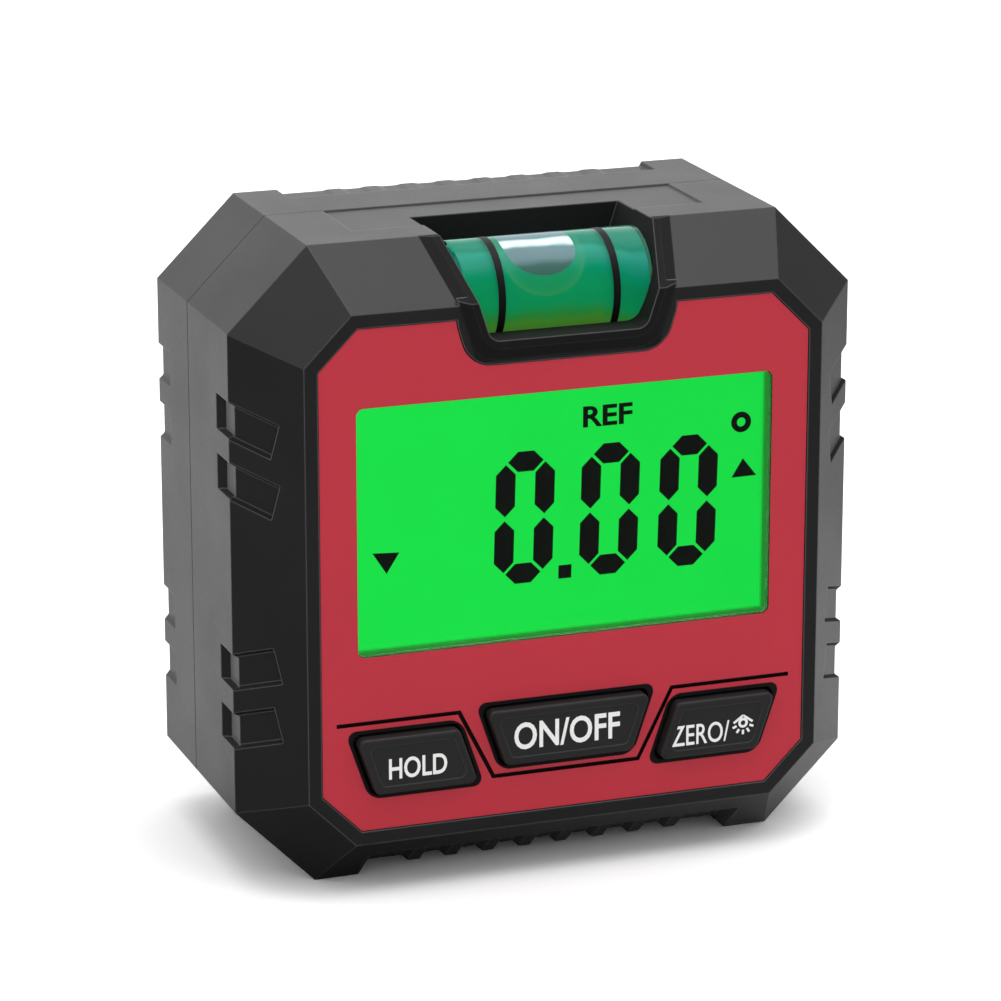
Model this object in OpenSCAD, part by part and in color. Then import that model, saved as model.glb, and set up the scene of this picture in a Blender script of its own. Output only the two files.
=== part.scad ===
// Digital angle gauge: a pocket electronic level with a lit display, three push
// buttons and a spirit vial let into the top front edge.
// Millimetres. X to the right, Y to the back, Z up; the base rests on Z = 0.

/* [Housing] */
// Width across the flat sides
body_w = 60; // [54:0.5:80]
// Height from base to top
body_h = 60; // [54:0.5:80]
// Depth from the bezel to the rear face
body_d = 32; // [29:0.5:44]
// Leg of the cut corners
corner_chamfer = 7.5; // [6.5:0.25:8.5]
// Depth of the front bevel, front to back
front_bevel_depth = 6; // [5.5:0.25:6.5]
// How far the front bevel runs in from the side
front_bevel_inset = 5.2; // [4.8:0.1:5.6]
// Depth of the rear bevel, front to back
rear_bevel_depth = 3.4; // [2.6:0.2:4]
// How far the rear bevel runs in from the side
rear_bevel_inset = 3; // [2.4:0.2:3.2]
// Flat side between the front bevel and the seam
front_flat = 12.6; // [11.6:0.2:13.6]
// Side wall thickness
wall = 2; // [1.8:0.1:2.2]
// Front wall thickness with the panel recess
front_wall = 2.6; // [2.4:0.1:2.8]
// Chamfer of each half along the seam
seam = 0.1; // [0.1:0.05:0.3]
// Height of the lip that centres the rear half in the front half
lip = 1.2; // [1:0.1:1.4]
// Thickness of the lip
lip_t = 1.15; // [1:0.05:1.3]
// Gap between pieces that slide into each other
slack = 0.15; // [0.1:0.01:0.2]
// Gap round pieces that are pressed in
fit = 0.05; // [0.03:0.01:0.08]
// Depth of the shallow pad on the top face
pad_depth = 0.15; // [0.15:0.05:0.4]
// Half width of the pad on the top face
pad_half = 17; // [15:0.5:19]

/* [Face panel] */
// Black rim left round the red panel
bezel_rim = 1.34; // [1.2:0.02:1.6]
// Panel thickness
panel_t = 1.1; // [0.9:0.05:1.2]
// How far the panel lies under the bezel
panel_sink = 0.1; // [0.05:0.05:0.2]
// Gap round the panel in its recess
panel_gap = 0.08; // [0.05:0.01:0.12]
// Panel cut back beside the collar of the vial
notch_side = 0.83; // [0.5:0.01:1.2]
// Panel cut back under the collar of the vial
notch_under = 0.5; // [0.3:0.05:0.8]
// Side lean of the panel's vial notch, sideways per height
notch_lean = 0.3; // [0.26:0.01:0.34]
// Corner radius of the panel's vial notch
notch_r = 3; // [2:0.1:3.4]
// Width of the thin groove in the panel
groove_w = 0.4; // [0.3:0.05:0.5]
// Depth of the thin groove in the panel
groove_depth = 0.45; // [0.3:0.05:0.6]
// Groove above the side buttons
groove_up = 1; // [0.8:0.05:1.2]
// Groove under the middle button
groove_under = 0.9; // [0.7:0.05:1.2]
// Groove beside the upper corners of the middle button
groove_beside = 2; // [1.8:0.05:2.2]
// Side lean of the groove, sideways per height
groove_lean = 0.504; // [0.48:0.002:0.52]
// Groove end to the panel's edge
groove_end = 1.36; // [1:0.02:2]

/* [Display] */
// Panel left at each side of the window
window_side = 3.46; // [3:0.02:6]
// Panel left between the window and the vial notch
window_over = 2.9; // [2.4:0.1:4]
// Panel left between the window and the middle button
window_under = 5.9; // [5:0.1:8]
// Corner radius of the window
window_r = 0.7; // [0.4:0.1:1.2]
// How far the lens lies under the panel
lens_sink = 0.15; // [0.05:0.05:0.3]
// Gap round the lens in the panel
lens_fit = 0.06; // [0.04:0.01:0.1]
// Flange of the lens behind the panel
lens_flange = 1.2; // [0.8:0.1:1.3]
// Gap between the lens and the display cell
lens_gap = 0.15; // [0.1:0.05:0.3]
// Thickness of the display cell
lcd_t = 1.8; // [1.4:0.1:2]
// Display cell past the lens at each side
lcd_edge = 0.8; // [0.4:0.1:1]
// Contact ledge of the display cell under the lens
lcd_ledge = 2.4; // [2:0.1:2.6]
// Thickness of the light guide
guide_t = 2.6; // [2.4:0.1:3]
// Height of each backlight lamp
led_w = 3; // [2.4:0.1:3.4]
// Sideways size of each backlight lamp
led_t = 1.2; // [0.8:0.1:1.4]
// Depth of each backlight lamp
led_depth = 1.8; // [1.4:0.1:2]
// Distance between the backlight lamps
led_pitch = 10; // [8:0.5:11]
// Gap between the upper post and the upper lamp
led_under = 1.4; // [0.8:0.1:2]
// Rubber connector in from each end of the display cell
zebra_in = 2; // [1:0.1:3]

/* [Circuit board] */
// Thickness of the circuit board
board_t = 1.4; // [1:0.1:1.6]
// Board edge past the axis of the posts
board_edge = 1.6; // [1.2:0.1:1.8]
// Lower edge of the board above the base
board_low = 6; // [5.5:0.25:7]
// Side of the controller chip
chip_side = 8; // [5:0.5:10]
// Height of the controller chip
chip_t = 1.2; // [0.8:0.1:1.6]
// Chip centre left of the middle
chip_at = 8; // [6:0.5:10]
// Side of the tilt sensor
sensor_side = 4; // [3:0.25:5]
// Height of the tilt sensor
sensor_t = 1; // [0.8:0.1:1.4]
// Sensor centre right of the middle
sensor_at = 10; // [6:0.5:12]
// Sensor centre under the middle
sensor_low = 6; // [4:0.5:8]
// Side of each switch body
switch_side = 4.5; // [4:0.1:5]
// Height of each switch body
switch_h = 1.9; // [1.6:0.1:2]
// Radius of the switch plungers
plunger_r = 1; // [0.8:0.05:1.2]
// Plunger above its switch body
plunger_up = 0.6; // [0.5:0.05:0.7]

/* [Vial] */
// Outer diameter of the tube
vial_d = 9.8; // [9:0.1:10]
// Length of the tube
vial_len = 18.4; // [17:0.2:19.4]
// Wall of the tube
vial_wall = 1.1; // [0.8:0.1:1.4]
// Closed end of the tube
vial_end = 1.2; // [0.9:0.1:1.6]
// Length of the plug in the tube's other end
plug_len = 1.4; // [1.1:0.1:1.8]
// How far the tube's top lies under the top face
vial_drop = 0.9; // [0.7:0.1:1.1]
// Tube axis behind the bezel
vial_back = 6.8; // [6.4:0.1:7.4]
// Floor of the cradle under the tube
vial_floor = 1.35; // [1:0.05:1.6]
// Cheek of the cradle beside the pocket
vial_cheek = 1.7; // [1.2:0.1:2.2]
// Half width of the pocket at the top face
pocket_half = 10.2; // [9.4:0.1:11]
// Side lean of the pocket, sideways per height
pocket_lean = 0.325; // [0.28:0.005:0.36]
// Pocket floor under the top face
pocket_drop = 8.6; // [7.8:0.1:9.2]
// Back wall of the pocket behind the bezel
pocket_back = 14; // [12.8:0.1:15]
// Corner radius of the pocket
pocket_r = 1.2; // [0.8:0.1:1.6]
// Foot width of the collar beside the pocket
collar_w = 1.8; // [1.4:0.1:2]
// Height of the collar's crest over the bevel and the bezel
collar_rise = 0.35; // [0.2:0.05:0.7]
// Flat width of the collar's crest
collar_crest = 0.75; // [0.5:0.05:1]
// Corner radius of the collar's foot on the face
collar_r = 2.6; // [1.6:0.1:3]
// Distance of the rings from the middle
ring_at = 5.5; // [5:0.1:6]
// Width of each ring
ring_w = 0.85; // [0.6:0.05:1]
// Depth of the rings in the tube
ring_depth = 0.25; // [0.15:0.05:0.4]
// Length of the bubble
bubble_len = 7.8; // [6:0.2:10]
// Diameter of the bubble
bubble_d = 4.4; // [3.6:0.2:4.8]

/* [Buttons] */
// Side openings above the panel's lower edge
side_up = 3.31; // [2.6:0.01:4.2]
// Middle opening above the panel's lower edge
power_up = 4.61; // [3.8:0.01:5]
// Height of the button openings
button_h = 5.95; // [5.4:0.05:6.4]
// Side lean of the openings, sideways per height
button_lean = 0.34; // [0.3:0.01:0.36]
// Panel left outside the side openings
side_in = 2.6; // [2.4:0.05:3.4]
// Width of the side openings
side_w = 10.42; // [9.4:0.02:11.4]
// Panel left between the openings at their upper edges
button_space = 2.04; // [1.8:0.02:2.6]
// Corner radius of the openings
button_r = 0.8; // [0.6:0.1:1]
// Gap round each cap
button_gap = 0.28; // [0.2:0.02:0.34]
// How far the caps stand over the panel
button_proud = 1; // [0.9:0.05:1.2]
// Eased edge of the caps
cap_ease = 0.2; // [0.15:0.05:0.5]
// Depth of the shallow finger dish in each cap
button_dish = 0.06; // [0.04:0.01:0.2]
// Rim round the finger dish
dish_rim = 0.75; // [0.6:0.05:1]
// Flange that holds each cap behind the wall
button_flange = 0.5; // [0.4:0.05:0.6]
// Thickness of that flange
flange_t = 0.8; // [0.6:0.05:1]
// Radius of the stem behind each cap
stem_r = 1.5; // [1.2:0.1:1.8]
// Travel of the buttons
button_travel = 0.5; // [0.3:0.05:0.5]

/* [Edge grips] */
// Pitch of the notches on the upright edges
notch_pitch = 5.6; // [5.2:0.1:6.2]
// Distance of the inner notches from the middle
notch_at = 9; // [8.4:0.1:9.6]
// Notch width at the surface
notch_w = 3.4; // [3.2:0.1:4]
// Notch width at its floor
notch_floor = 2.7; // [2.2:0.1:2.9]
// Notch depth
notch_depth = 0.55; // [0.4:0.05:0.7]
// Share of that depth on the bevel
notch_share = 0.6; // [0.5:0.05:0.8]
// Run of a notch's far end, reach per depth
notch_run = 2.6; // [2:0.1:3]
// Lean of the notches on the bevel towards the middle, in degrees
notch_turn = 16; // [8:1:20]
// Half length of the ribbed edge under the front
grip_half = 18.3; // [16:0.05:19]
// Pitch of the ribs
rib_pitch = 3.65; // [3.2:0.05:4.2]
// Half width of a rib at its tip
rib_half = 0.55; // [0.4:0.05:0.7]
// Half width of a rib at its foot
rib_foot = 1.15; // [1:0.05:1.3]
// Depth of the rib tips
rib_tip = 0.65; // [0.5:0.05:0.75]
// Depth of the valleys between the ribs
rib_valley = 1.2; // [1:0.05:1.35]
// Reach of notches and ribs back from the edge
grip_back = 3.8; // [3.2:0.1:3.9]
// Share of the bevel that they cross
grip_share = 0.63; // [0.5:0.01:0.7]

/* [Battery bay] */
// Cell diameter
cell_d = 10.5; // [10:0.1:11.5]
// Cell length with its nub
cell_len = 44.5; // [40:0.1:48.5]
// Radius of the cell's nub
nub_r = 1.9; // [1.6:0.1:2.2]
// Length of the cell's nub
nub_len = 1; // [0.8:0.1:1.4]
// Room round the cells in the bay
cell_slack = 0.3; // [0.2:0.05:0.5]
// Gap between the two cells
cell_apart = 0.8; // [0.5:0.1:1.2]
// Bay end to the side wall
bay_end = 2; // [1.6:0.1:2.4]
// Rim that roofs the bay's ends under the door
bay_roof = 1.6; // [1.2:0.1:2]
// Floor and end walls of the bay
tray_t = 1.2; // [0.9:0.1:1.5]
// Thickness of the contact strips
strip_t = 0.4; // [0.3:0.05:0.5]
// Half width of the contact leaves
leaf_half = 2.5; // [2:0.1:3]
// Door thickness
door_t = 1.6; // [1.4:0.1:2]
// Gap round the door
door_gap = 0.2; // [0.15:0.05:0.3]
// Lap of the door on its ledge above and below the bay
door_lap = 1.4; // [1:0.1:1.6]
// Corner radius of the door
door_r = 1; // [0.6:0.1:1.6]
// Snap tabs of the door from its middle
tab_at = 12; // [8:0.5:16]
// Half width of the snap tabs
tab_half = 2.5; // [2:0.1:3]
// Length of the snap tabs
tab_len = 1.2; // [0.9:0.1:1.5]
// Thickness of the snap tabs
tab_t = 0.8; // [0.6:0.1:1]
// Radius of the thumb dip in the door
dip_r = 4.4; // [3.5:0.1:5]
// Depth of the thumb dip
dip_depth = 0.7; // [0.4:0.1:0.9]

/* [Fasteners] */
// Housing screws in from the sides
boss_in = 8.2; // [7.8:0.1:8.6]
// Housing screws in from the base and the top
boss_up = 7.8; // [7.4:0.1:8.2]
// Radius of the screw bosses
boss_r = 2.3; // [2:0.1:2.5]
// Radius of the housing screws
screw_r = 1.1; // [0.9:0.05:1.25]
// Radius of the screw heads
head_r = 2.15; // [1.9:0.05:2.3]
// Height of the screw heads
head_h = 1.7; // [1.2:0.1:2]
// Screw seats in front of the rear bevel
head_seat = 4.6; // [4:0.1:5]
// Gap round the screws and their heads
screw_gap = 0.25; // [0.15:0.05:0.35]
// Radius of the board posts
post_r = 1.5; // [1.3:0.1:1.6]
// Gap between the display cell and the posts
post_room = 0.5; // [0.3:0.1:0.6]
// Lower posts under the middle of the body
post_low = 9.6; // [9:0.1:10]
// Upper posts under the board's upper edge
post_drop = 3.5; // [2.5:0.25:4.5]
// Radius of the board screws
pin_r = 0.77; // [0.6:0.01:0.9]
// Head height of the board screws
pin_head = 0.9; // [0.7:0.1:1.2]

/* [Base magnets] */
// Magnet diameter
magnet_d = 7; // [6:0.2:7.6]
// Magnet thickness
magnet_t = 2; // [1.6:0.1:2.2]
// Distance between the magnets
magnet_pitch = 15; // [12:0.5:16.5]
// Magnets behind the ribbed edge
magnet_in = 0.15; // [0.1:0.05:0.4]
// Wall round each magnet
magnet_wall = 1.1; // [0.8:0.1:1.3]

/* [Hidden] */
$fn = 40;
lay = 0.02;
zc = body_h / 2;
root2 = sqrt(2);
button_out = button_proud - panel_sink;
y_face = button_out - (body_d + button_out) / 2;
d_edge = front_bevel_depth;
d_seam = front_bevel_depth + front_flat;
d_redge = body_d - rear_bevel_depth;
d_floor = panel_t + panel_sink;
d_in = front_wall;
d_skin = (d_floor + d_in) / 2;
d_lcd = d_in + lcd_t;
d_board = d_lcd + guide_t;
d_back = d_board + board_t;
d_tip = d_lcd + guide_t * 0.8;
panel_in = front_bevel_inset + bezel_rim;
panel_hw = body_w / 2 - panel_in;
panel_hh = body_h / 2 - panel_in;
panel_c = corner_chamfer - panel_in * (2 - root2);
notch_half = pocket_half + collar_w - pocket_lean * panel_in + notch_side;
notch_drop = pocket_drop + collar_w + notch_under - panel_in;
vial_r = vial_d / 2;
vial_hx = vial_len / 2;
bore_r = vial_r - vial_wall;
vial_z = body_h - vial_drop - vial_r;
block_lo = vial_z - vial_r - vial_floor;
block_half = pocket_half + vial_cheek;
side_z = zc - panel_hh + side_up;
power_z = zc - panel_hh + power_up;
win_top = zc + panel_hh - notch_drop - window_over;
win_low = power_z + button_h + window_under;
win_z = (win_top + win_low) / 2;
win_hw = panel_hw - window_side;
win_hh = (win_top - win_low) / 2;
lens_hw = win_hw + lens_flange;
lens_hh = win_hh + lens_flange;
lcd_hw = lens_hw + lcd_edge;
lcd_top = min(win_z + lens_hh + slack, block_lo - slack);
lcd_low = win_z - lens_hh - lcd_ledge;
guide_low = lcd_low + lcd_ledge + slack;
post_x = lcd_hw + post_room + post_r;
board_top = lcd_top;
post_z = [zc - post_low, board_top - post_drop];
boss_x = body_w / 2 - boss_in;
boss_dz = body_h / 2 - boss_up;
bosses = [[-boss_x, zc - boss_dz], [boss_x, zc - boss_dz], [-boss_x, zc + boss_dz], [boss_x, zc + boss_dz]];
d_seat = d_redge - head_seat;
cell_r = cell_d / 2;
cell_hx = cell_len / 2;
cell_dz = (cell_d + cell_apart) / 2;
d_cell = body_d - door_t - cell_slack - cell_r;
d_tray = d_cell - cell_r - cell_slack;
bay_hx = body_w / 2 - wall - bay_end;
bay_hz = cell_dz + cell_r + cell_slack;
end_room = body_w / 2 - rear_bevel_inset - cell_hx;
mouth_hx = cell_hx + end_room * 0.24;
door_hx = cell_hx + end_room * 0.54;
door_hz = bay_hz + door_lap;
leaf_room = bay_hx - strip_t - cell_hx;
leg_x = bay_hx - strip_t - leaf_room * 0.3;
leg_half = leaf_half * 0.4;
strip_top = body_d - door_t - bay_roof - slack;
stem_d = d_board - switch_h - plunger_up;
magnet_d0 = d_edge + grip_back + magnet_in + magnet_d / 2;
magnet_r1 = magnet_d / 2 + magnet_wall;
side_out = panel_hw - side_in;
power_half = side_out - side_w - button_space;
groove_hi = side_z + button_h + groove_up;
groove_lo = power_z - groove_under;
groove_x1 = power_half + groove_beside;
groove_x0 = groove_x1 - groove_lean * (groove_hi - groove_lo);
groove_x2 = panel_hw - groove_end;

function unit(v) = v / norm(v);
function prev(p, i) = p[(i + len(p) - 1) % len(p)];
function next(p, i) = p[(i + 1) % len(p)];
function half_turn(p, i) = acos(unit(prev(p, i) - p[i]) * unit(next(p, i) - p[i])) / 2;
function mid_dir(p, i) = unit(unit(prev(p, i) - p[i]) + unit(next(p, i) - p[i]));
function inner(p, i, r) = p[i] + mid_dir(p, i) * r / sin(half_turn(p, i));
function inset(p, r) = [for (i = [0:len(p) - 1]) inner(p, i, r)];
function tan_in(p, i, r) = p[i] + unit(prev(p, i) - p[i]) * r / tan(half_turn(p, i));
function tan_out(p, i, r) = p[i] + unit(next(p, i) - p[i]) * r / tan(half_turn(p, i));
function box_pts(hw, hh, x, z) = [[x - hw, z - hh], [x + hw, z - hh], [x + hw, z + hh], [x - hw, z + hh]];

// Outline with cut corners, centred on the body's middle
function octagon(hw, hh, c) = [[-hw, zc - hh + c], [-hw + c, zc - hh], [hw - c, zc - hh], [hw, zc - hh + c],
  [hw, zc + hh - c], [hw - c, zc + hh], [-hw + c, zc + hh], [-hw, zc + hh - c]];

// Opening outlines of the three buttons, as seen from the front
side_lean = button_lean * button_h;
hold_pts = [[-side_out + side_lean, side_z], [-side_out + side_w + side_lean, side_z],
  [-side_out + side_w, side_z + button_h], [-side_out, side_z + button_h]];
zero_pts = [[side_out - side_w - side_lean, side_z], [side_out - side_lean, side_z],
  [side_out, side_z + button_h], [side_out - side_w, side_z + button_h]];
power_pts = [[-power_half + side_lean, power_z], [power_half - side_lean, power_z],
  [power_half, power_z + button_h], [-power_half, power_z + button_h]];
hold_at = [-side_out + (side_w + side_lean) / 2, side_z + button_h / 2];
zero_at = [-hold_at[0], hold_at[1]];
power_at = [0, power_z + button_h / 2];

// Convex outline with rounded corners
module round_poly(p, r) {
  polygon([for (i = [0:len(p) - 1]) each [tan_in(p, i, r), tan_out(p, i, r)]]);
  for (i = [0:len(p) - 1]) {
    translate(inner(p, i, r)) circle(r = r);
  }
}

// Front outline (x, z) carried from depth d0 to depth d1 behind the bezel
module deep(d0, d1) {
  translate([0, y_face + d1, 0]) rotate([90, 0, 0]) linear_extrude(height = d1 - d0) children();
}

// Round bar along the depth
module bar_y(x, z, r, d0, d1) {
  translate([x, y_face + d1, z]) rotate([90, 0, 0]) cylinder(r = r, h = d1 - d0);
}

// Round bar along the width
module bar_x(d, z, r, x0, x1) {
  translate([x0, y_face + d, z]) rotate([0, 90, 0]) cylinder(r = r, h = x1 - x0);
}

// Plain block between two corners, given as x, depth, z
module block(a, b) {
  translate([a[0], y_face + a[1], a[2]]) cube([b[0] - a[0], b[1] - a[1], b[2] - a[2]]);
}

// Side outline of the body: half height s over the depth, with a bevel at each end
function side_pts(s, d0, d1, fd, fi, rd, ri) = concat([[d0, fi - s], [d0, s - fi]],
  [[d0 + fd, s]], rd > 0 ? [[d1 - rd, s], [d1, s - ri], [d1, ri - s], [d1 - rd, -s]] : [[d1, s], [d1, -s]],
  [[d0 + fd, -s]]);

module slab(s, d0, d1, fd, fi, rd, ri) {
  translate([-body_w, y_face, 0]) rotate([90, 0, 90]) linear_extrude(height = body_w * 2)
    polygon(side_pts(s, d0, d1, fd, fi, rd, ri));
}

// Eight-sided body with all edges bevelled alike, front and rear
module bevel_body(w, h, c, d0, d1, fd, fi, rd, ri) {
  s45 = (w / 2 + h / 2 - c) / root2;
  translate([0, 0, zc]) intersection() {
    slab(h / 2, d0, d1, fd, fi, rd, ri);
    rotate([0, 90, 0]) slab(w / 2, d0, d1, fd, fi, rd, ri);
    rotate([0, 45, 0]) slab(s45, d0, d1, fd, fi, rd, ri);
    rotate([0, -45, 0]) slab(s45, d0, d1, fd, fi, rd, ri);
  }
}

module front_outer() {
  bevel_body(body_w, body_h, corner_chamfer, 0, d_seam, front_bevel_depth, front_bevel_inset, seam, seam);
}

module rear_outer() {
  bevel_body(body_w, body_h, corner_chamfer, d_seam, body_d, seam, seam, rear_bevel_depth, rear_bevel_inset);
}

// Prism without bevels, set in from the outside by t
module plain_body(t, d0, d1) {
  deep(d0, d1) polygon(octagon(body_w / 2 - t, body_h / 2 - t, corner_chamfer - t * (2 - root2)));
}

module front_cavity() {
  bevel_body(body_w - 2 * wall, body_h - 2 * wall, corner_chamfer - wall * (2 - root2), front_wall,
    d_seam + 1, front_bevel_depth, front_bevel_inset, 0, 0);
}

module rear_cavity() {
  bevel_body(body_w - 2 * wall, body_h - 2 * wall, corner_chamfer - wall * (2 - root2), d_seam - 1,
    body_d - wall, 0.5, 0, rear_bevel_depth, rear_bevel_inset);
}

// A cut that follows the side and wraps round onto the bevel; the edge lies on Z at the origin
module edge_cut(bd, bi, deepest) {
  over = deepest * bd / bi;
  run = norm([bd, bi]);
  translate([0, grip_back, 0]) rotate([90, 0, 0]) linear_extrude(height = grip_back + over) children();
  rotate([0, 0, -atan2(bi, bd)]) translate([0, over, 0]) rotate([90, 0, 0])
    linear_extrude(height = over + run * grip_share) children();
}

// Outline of one notch that is t deep
module notch_shape(t) {
  flare = (notch_w - notch_floor) / 2 / t;
  polygon([[-t, -notch_floor / 2], [1, -notch_w / 2 - flare], [1, notch_w / 2 + flare], [-t, notch_floor / 2]]);
}

// Two pairs of notches on an upright edge, t deep on the side and shallower where they turn onto the bevel
module notch_cuts(bd, bi, t) {
  over = t * bd / bi;
  run = norm([bd, bi]);
  for (k = [-1, 1], m = [notch_at, notch_at + notch_pitch]) {
    translate([0, 0, k * m]) {
      intersection() {
        translate([0, grip_back + notch_run, 0]) rotate([90, 0, 0])
          linear_extrude(height = grip_back + notch_run + over) notch_shape(t);
        translate([0, 0, -notch_w]) linear_extrude(height = 2 * notch_w)
          polygon([[1, -2 * over], [1, grip_back + notch_run], [-1, grip_back - notch_run], [-1, -2 * over]]);
      }
      rotate([0, 0, -atan2(bi, bd)]) rotate([k * notch_turn, 0, 0]) translate([0, over, 0]) rotate([90, 0, 0])
        linear_extrude(height = over + run * grip_share) notch_shape(t * notch_share);
    }
  }
}

// Ribbed outline along a level edge, with as many pairs of ribs as fit
module rib_row(half, tip, valley) {
  flare = 0.636;
  pairs = floor((half - rib_foot - flare * valley) / rib_pitch + 0.3);
  ribs = [for (i = [0:2 * pairs - 1]) (i + 0.5 - pairs) * rib_pitch];
  polygon(concat([[1, -half - flare], [-valley, -half + flare * valley]],
    [for (x = ribs) each [[-valley, x - rib_foot], [-tip, x - rib_half], [-tip, x + rib_half],
      [-valley, x + rib_foot]]],
    [[-valley, half - flare * valley], [1, half + flare]]));
}

module front_edges() {
  for (k = [0, 1]) {
    mirror([k, 0, 0]) translate([body_w / 2, y_face + d_edge, zc])
      notch_cuts(front_bevel_depth, front_bevel_inset, notch_depth);
  }
  translate([0, y_face + d_edge, 0]) rotate([0, 90, 0])
    edge_cut(front_bevel_depth, front_bevel_inset, rib_valley) rib_row(grip_half, rib_tip, rib_valley);
}

module rear_edges() {
  for (k = [0, 1]) {
    mirror([k, 0, 0]) translate([body_w / 2, y_face + d_redge, zc]) mirror([0, 1, 0])
      notch_cuts(rear_bevel_depth, rear_bevel_inset, notch_depth * 0.8);
  }
  translate([0, y_face + d_redge, 0]) mirror([0, 1, 0]) rotate([0, 90, 0])
    edge_cut(rear_bevel_depth, rear_bevel_inset, rib_valley) rib_row(grip_half, rib_tip, rib_valley);
  translate([0, y_face + d_redge, body_h]) mirror([0, 1, 0]) rotate([0, -90, 0])
    edge_cut(rear_bevel_depth, rear_bevel_inset, rib_valley * 0.35)
      rib_row(grip_half, rib_tip * 0.5, rib_valley * 0.35);
}

// Vial notch of the panel, made smaller by g
module panel_notch(g) {
  top = zc + panel_hh;
  round_poly([[-notch_half + g + notch_lean * notch_drop, top - notch_drop + g],
    [notch_half - g - notch_lean * notch_drop, top - notch_drop + g],
    [notch_half - g + notch_lean * notch_r, top + notch_r],
    [-notch_half + g - notch_lean * notch_r, top + notch_r]], notch_r);
}

module panel_outline(g) {
  difference() {
    polygon(octagon(panel_hw + g, panel_hh + g, panel_c + g * (2 - root2)));
    panel_notch(g);
  }
}

// Pocket outline from the front, open at the top
module pocket_outline() {
  lo = pocket_half - pocket_lean * pocket_drop;
  hi = pocket_half + pocket_lean * collar_r;
  round_poly([[-lo, body_h - pocket_drop], [lo, body_h - pocket_drop], [hi, body_h + collar_r],
    [-hi, body_h + collar_r]], pocket_r);
}

// Foot outline of the collar on the face, open at the top
function collar_pts(top) = let (lo = pocket_half + collar_w - pocket_lean * (pocket_drop + collar_w))
  [[-lo, body_h - pocket_drop - collar_w], [lo, body_h - pocket_drop - collar_w],
  [pocket_half + collar_w + top * pocket_lean, body_h + top],
  [-pocket_half - collar_w - top * pocket_lean, body_h + top]];

// Raised frame round the pocket, flat on its crest with a sloping outer side, on bevel and face alike
module collar() {
  run = norm([front_bevel_depth, front_bevel_inset]);
  turn = atan(pocket_lean * front_bevel_inset / run);
  lift = collar_rise * (run - front_bevel_inset) / front_bevel_depth;
  d_top = (front_bevel_inset - lift) * front_bevel_depth / front_bevel_inset - collar_rise;
  sunk = collar_crest * 0.8;
  crown = collar_pts(collar_w + collar_r);
  intersection() {
    translate([-body_w, y_face, 0]) rotate([90, 0, 90]) linear_extrude(height = body_w * 2)
      polygon([[-collar_rise, 0], [-collar_rise, body_h - front_bevel_inset + lift], [d_top, body_h],
        [d_seam, body_h], [d_seam, 0]]);
    union() {
      for (k = [0, 1]) {
        mirror([k, 0, 0]) intersection() {
          translate([pocket_half, y_face + d_edge, body_h])
            rotate([atan2(front_bevel_inset, front_bevel_depth), 0, 0]) rotate([0, 0, -turn])
            translate([0, run / 4, 0]) rotate([90, 0, 0]) linear_extrude(height = run * 1.5)
              polygon([[-sunk, -sunk], [collar_w, -sunk], [collar_w, 0], [collar_crest, collar_rise],
                [-sunk, collar_rise]]);
          block([0, 0, zc], [body_w, d_seam, body_h]);
        }
      }
      hull() {
        deep(-collar_rise, -collar_rise + lay)
          round_poly(inset(crown, collar_w - collar_crest), collar_r - sunk, $fn = 32);
        deep(0, sunk / 2) round_poly(crown, collar_r, $fn = 32);
      }
    }
  }
}

// Upright bosses round the magnets, grown by g
module magnet_bosses(g) {
  for (i = [-1:1]) {
    translate([i * magnet_pitch, y_face + magnet_d0, wall / 4])
      cylinder(r = magnet_r1 + g, h = magnet_t + magnet_wall - wall / 4 + g);
  }
}

module front_housing() {
  color([0.12, 0.12, 0.13]) difference() {
    union() {
      difference() {
        front_outer();
        front_cavity();
      }
      intersection() {
        front_outer();
        union() {
          block([-block_half, 0, block_lo], [block_half, pocket_back + vial_floor, body_h]);
          for (p = bosses) {
            bar_y(p[0], p[1], boss_r, d_skin, d_seam);
          }
          for (x = [-post_x, post_x], z = post_z) {
            bar_y(x, z, post_r, d_skin, d_board);
          }
          magnet_bosses(0);
        }
      }
      collar();
    }
    deep(-1, d_floor) panel_outline(panel_gap);
    deep(d_floor / 2, d_in + fit)
      round_poly(box_pts(lens_hw + 2 * fit, lens_hh + 2 * fit, 0, win_z), window_r * 1.7);
    for (p = [hold_pts, power_pts, zero_pts]) {
      deep(d_floor / 2, d_in + fit) round_poly(p, button_r);
    }
    deep(-2 * collar_rise, pocket_back) pocket_outline();
    bar_x(vial_back, vial_z, vial_r + fit, -vial_hx - fit / 2, vial_hx + fit / 2);
    for (p = bosses) {
      bar_y(p[0], p[1], screw_r + fit, d_lcd + guide_t * 0.6, d_seam + 1);
    }
    for (x = [-post_x, post_x], z = post_z) {
      bar_y(x, z, pin_r + fit, d_in + lcd_t / 3, d_board + 1);
    }
    for (i = [-1:1]) {
      translate([i * magnet_pitch, y_face + magnet_d0, -1])
        cylinder(r = magnet_d / 2 + fit, h = magnet_t + fit + 1);
    }
    block([-pad_half, d_edge + grip_back + slack, body_h - pad_depth], [pad_half, d_seam + 1, body_h + 1]);
    front_edges();
  }
}

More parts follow.
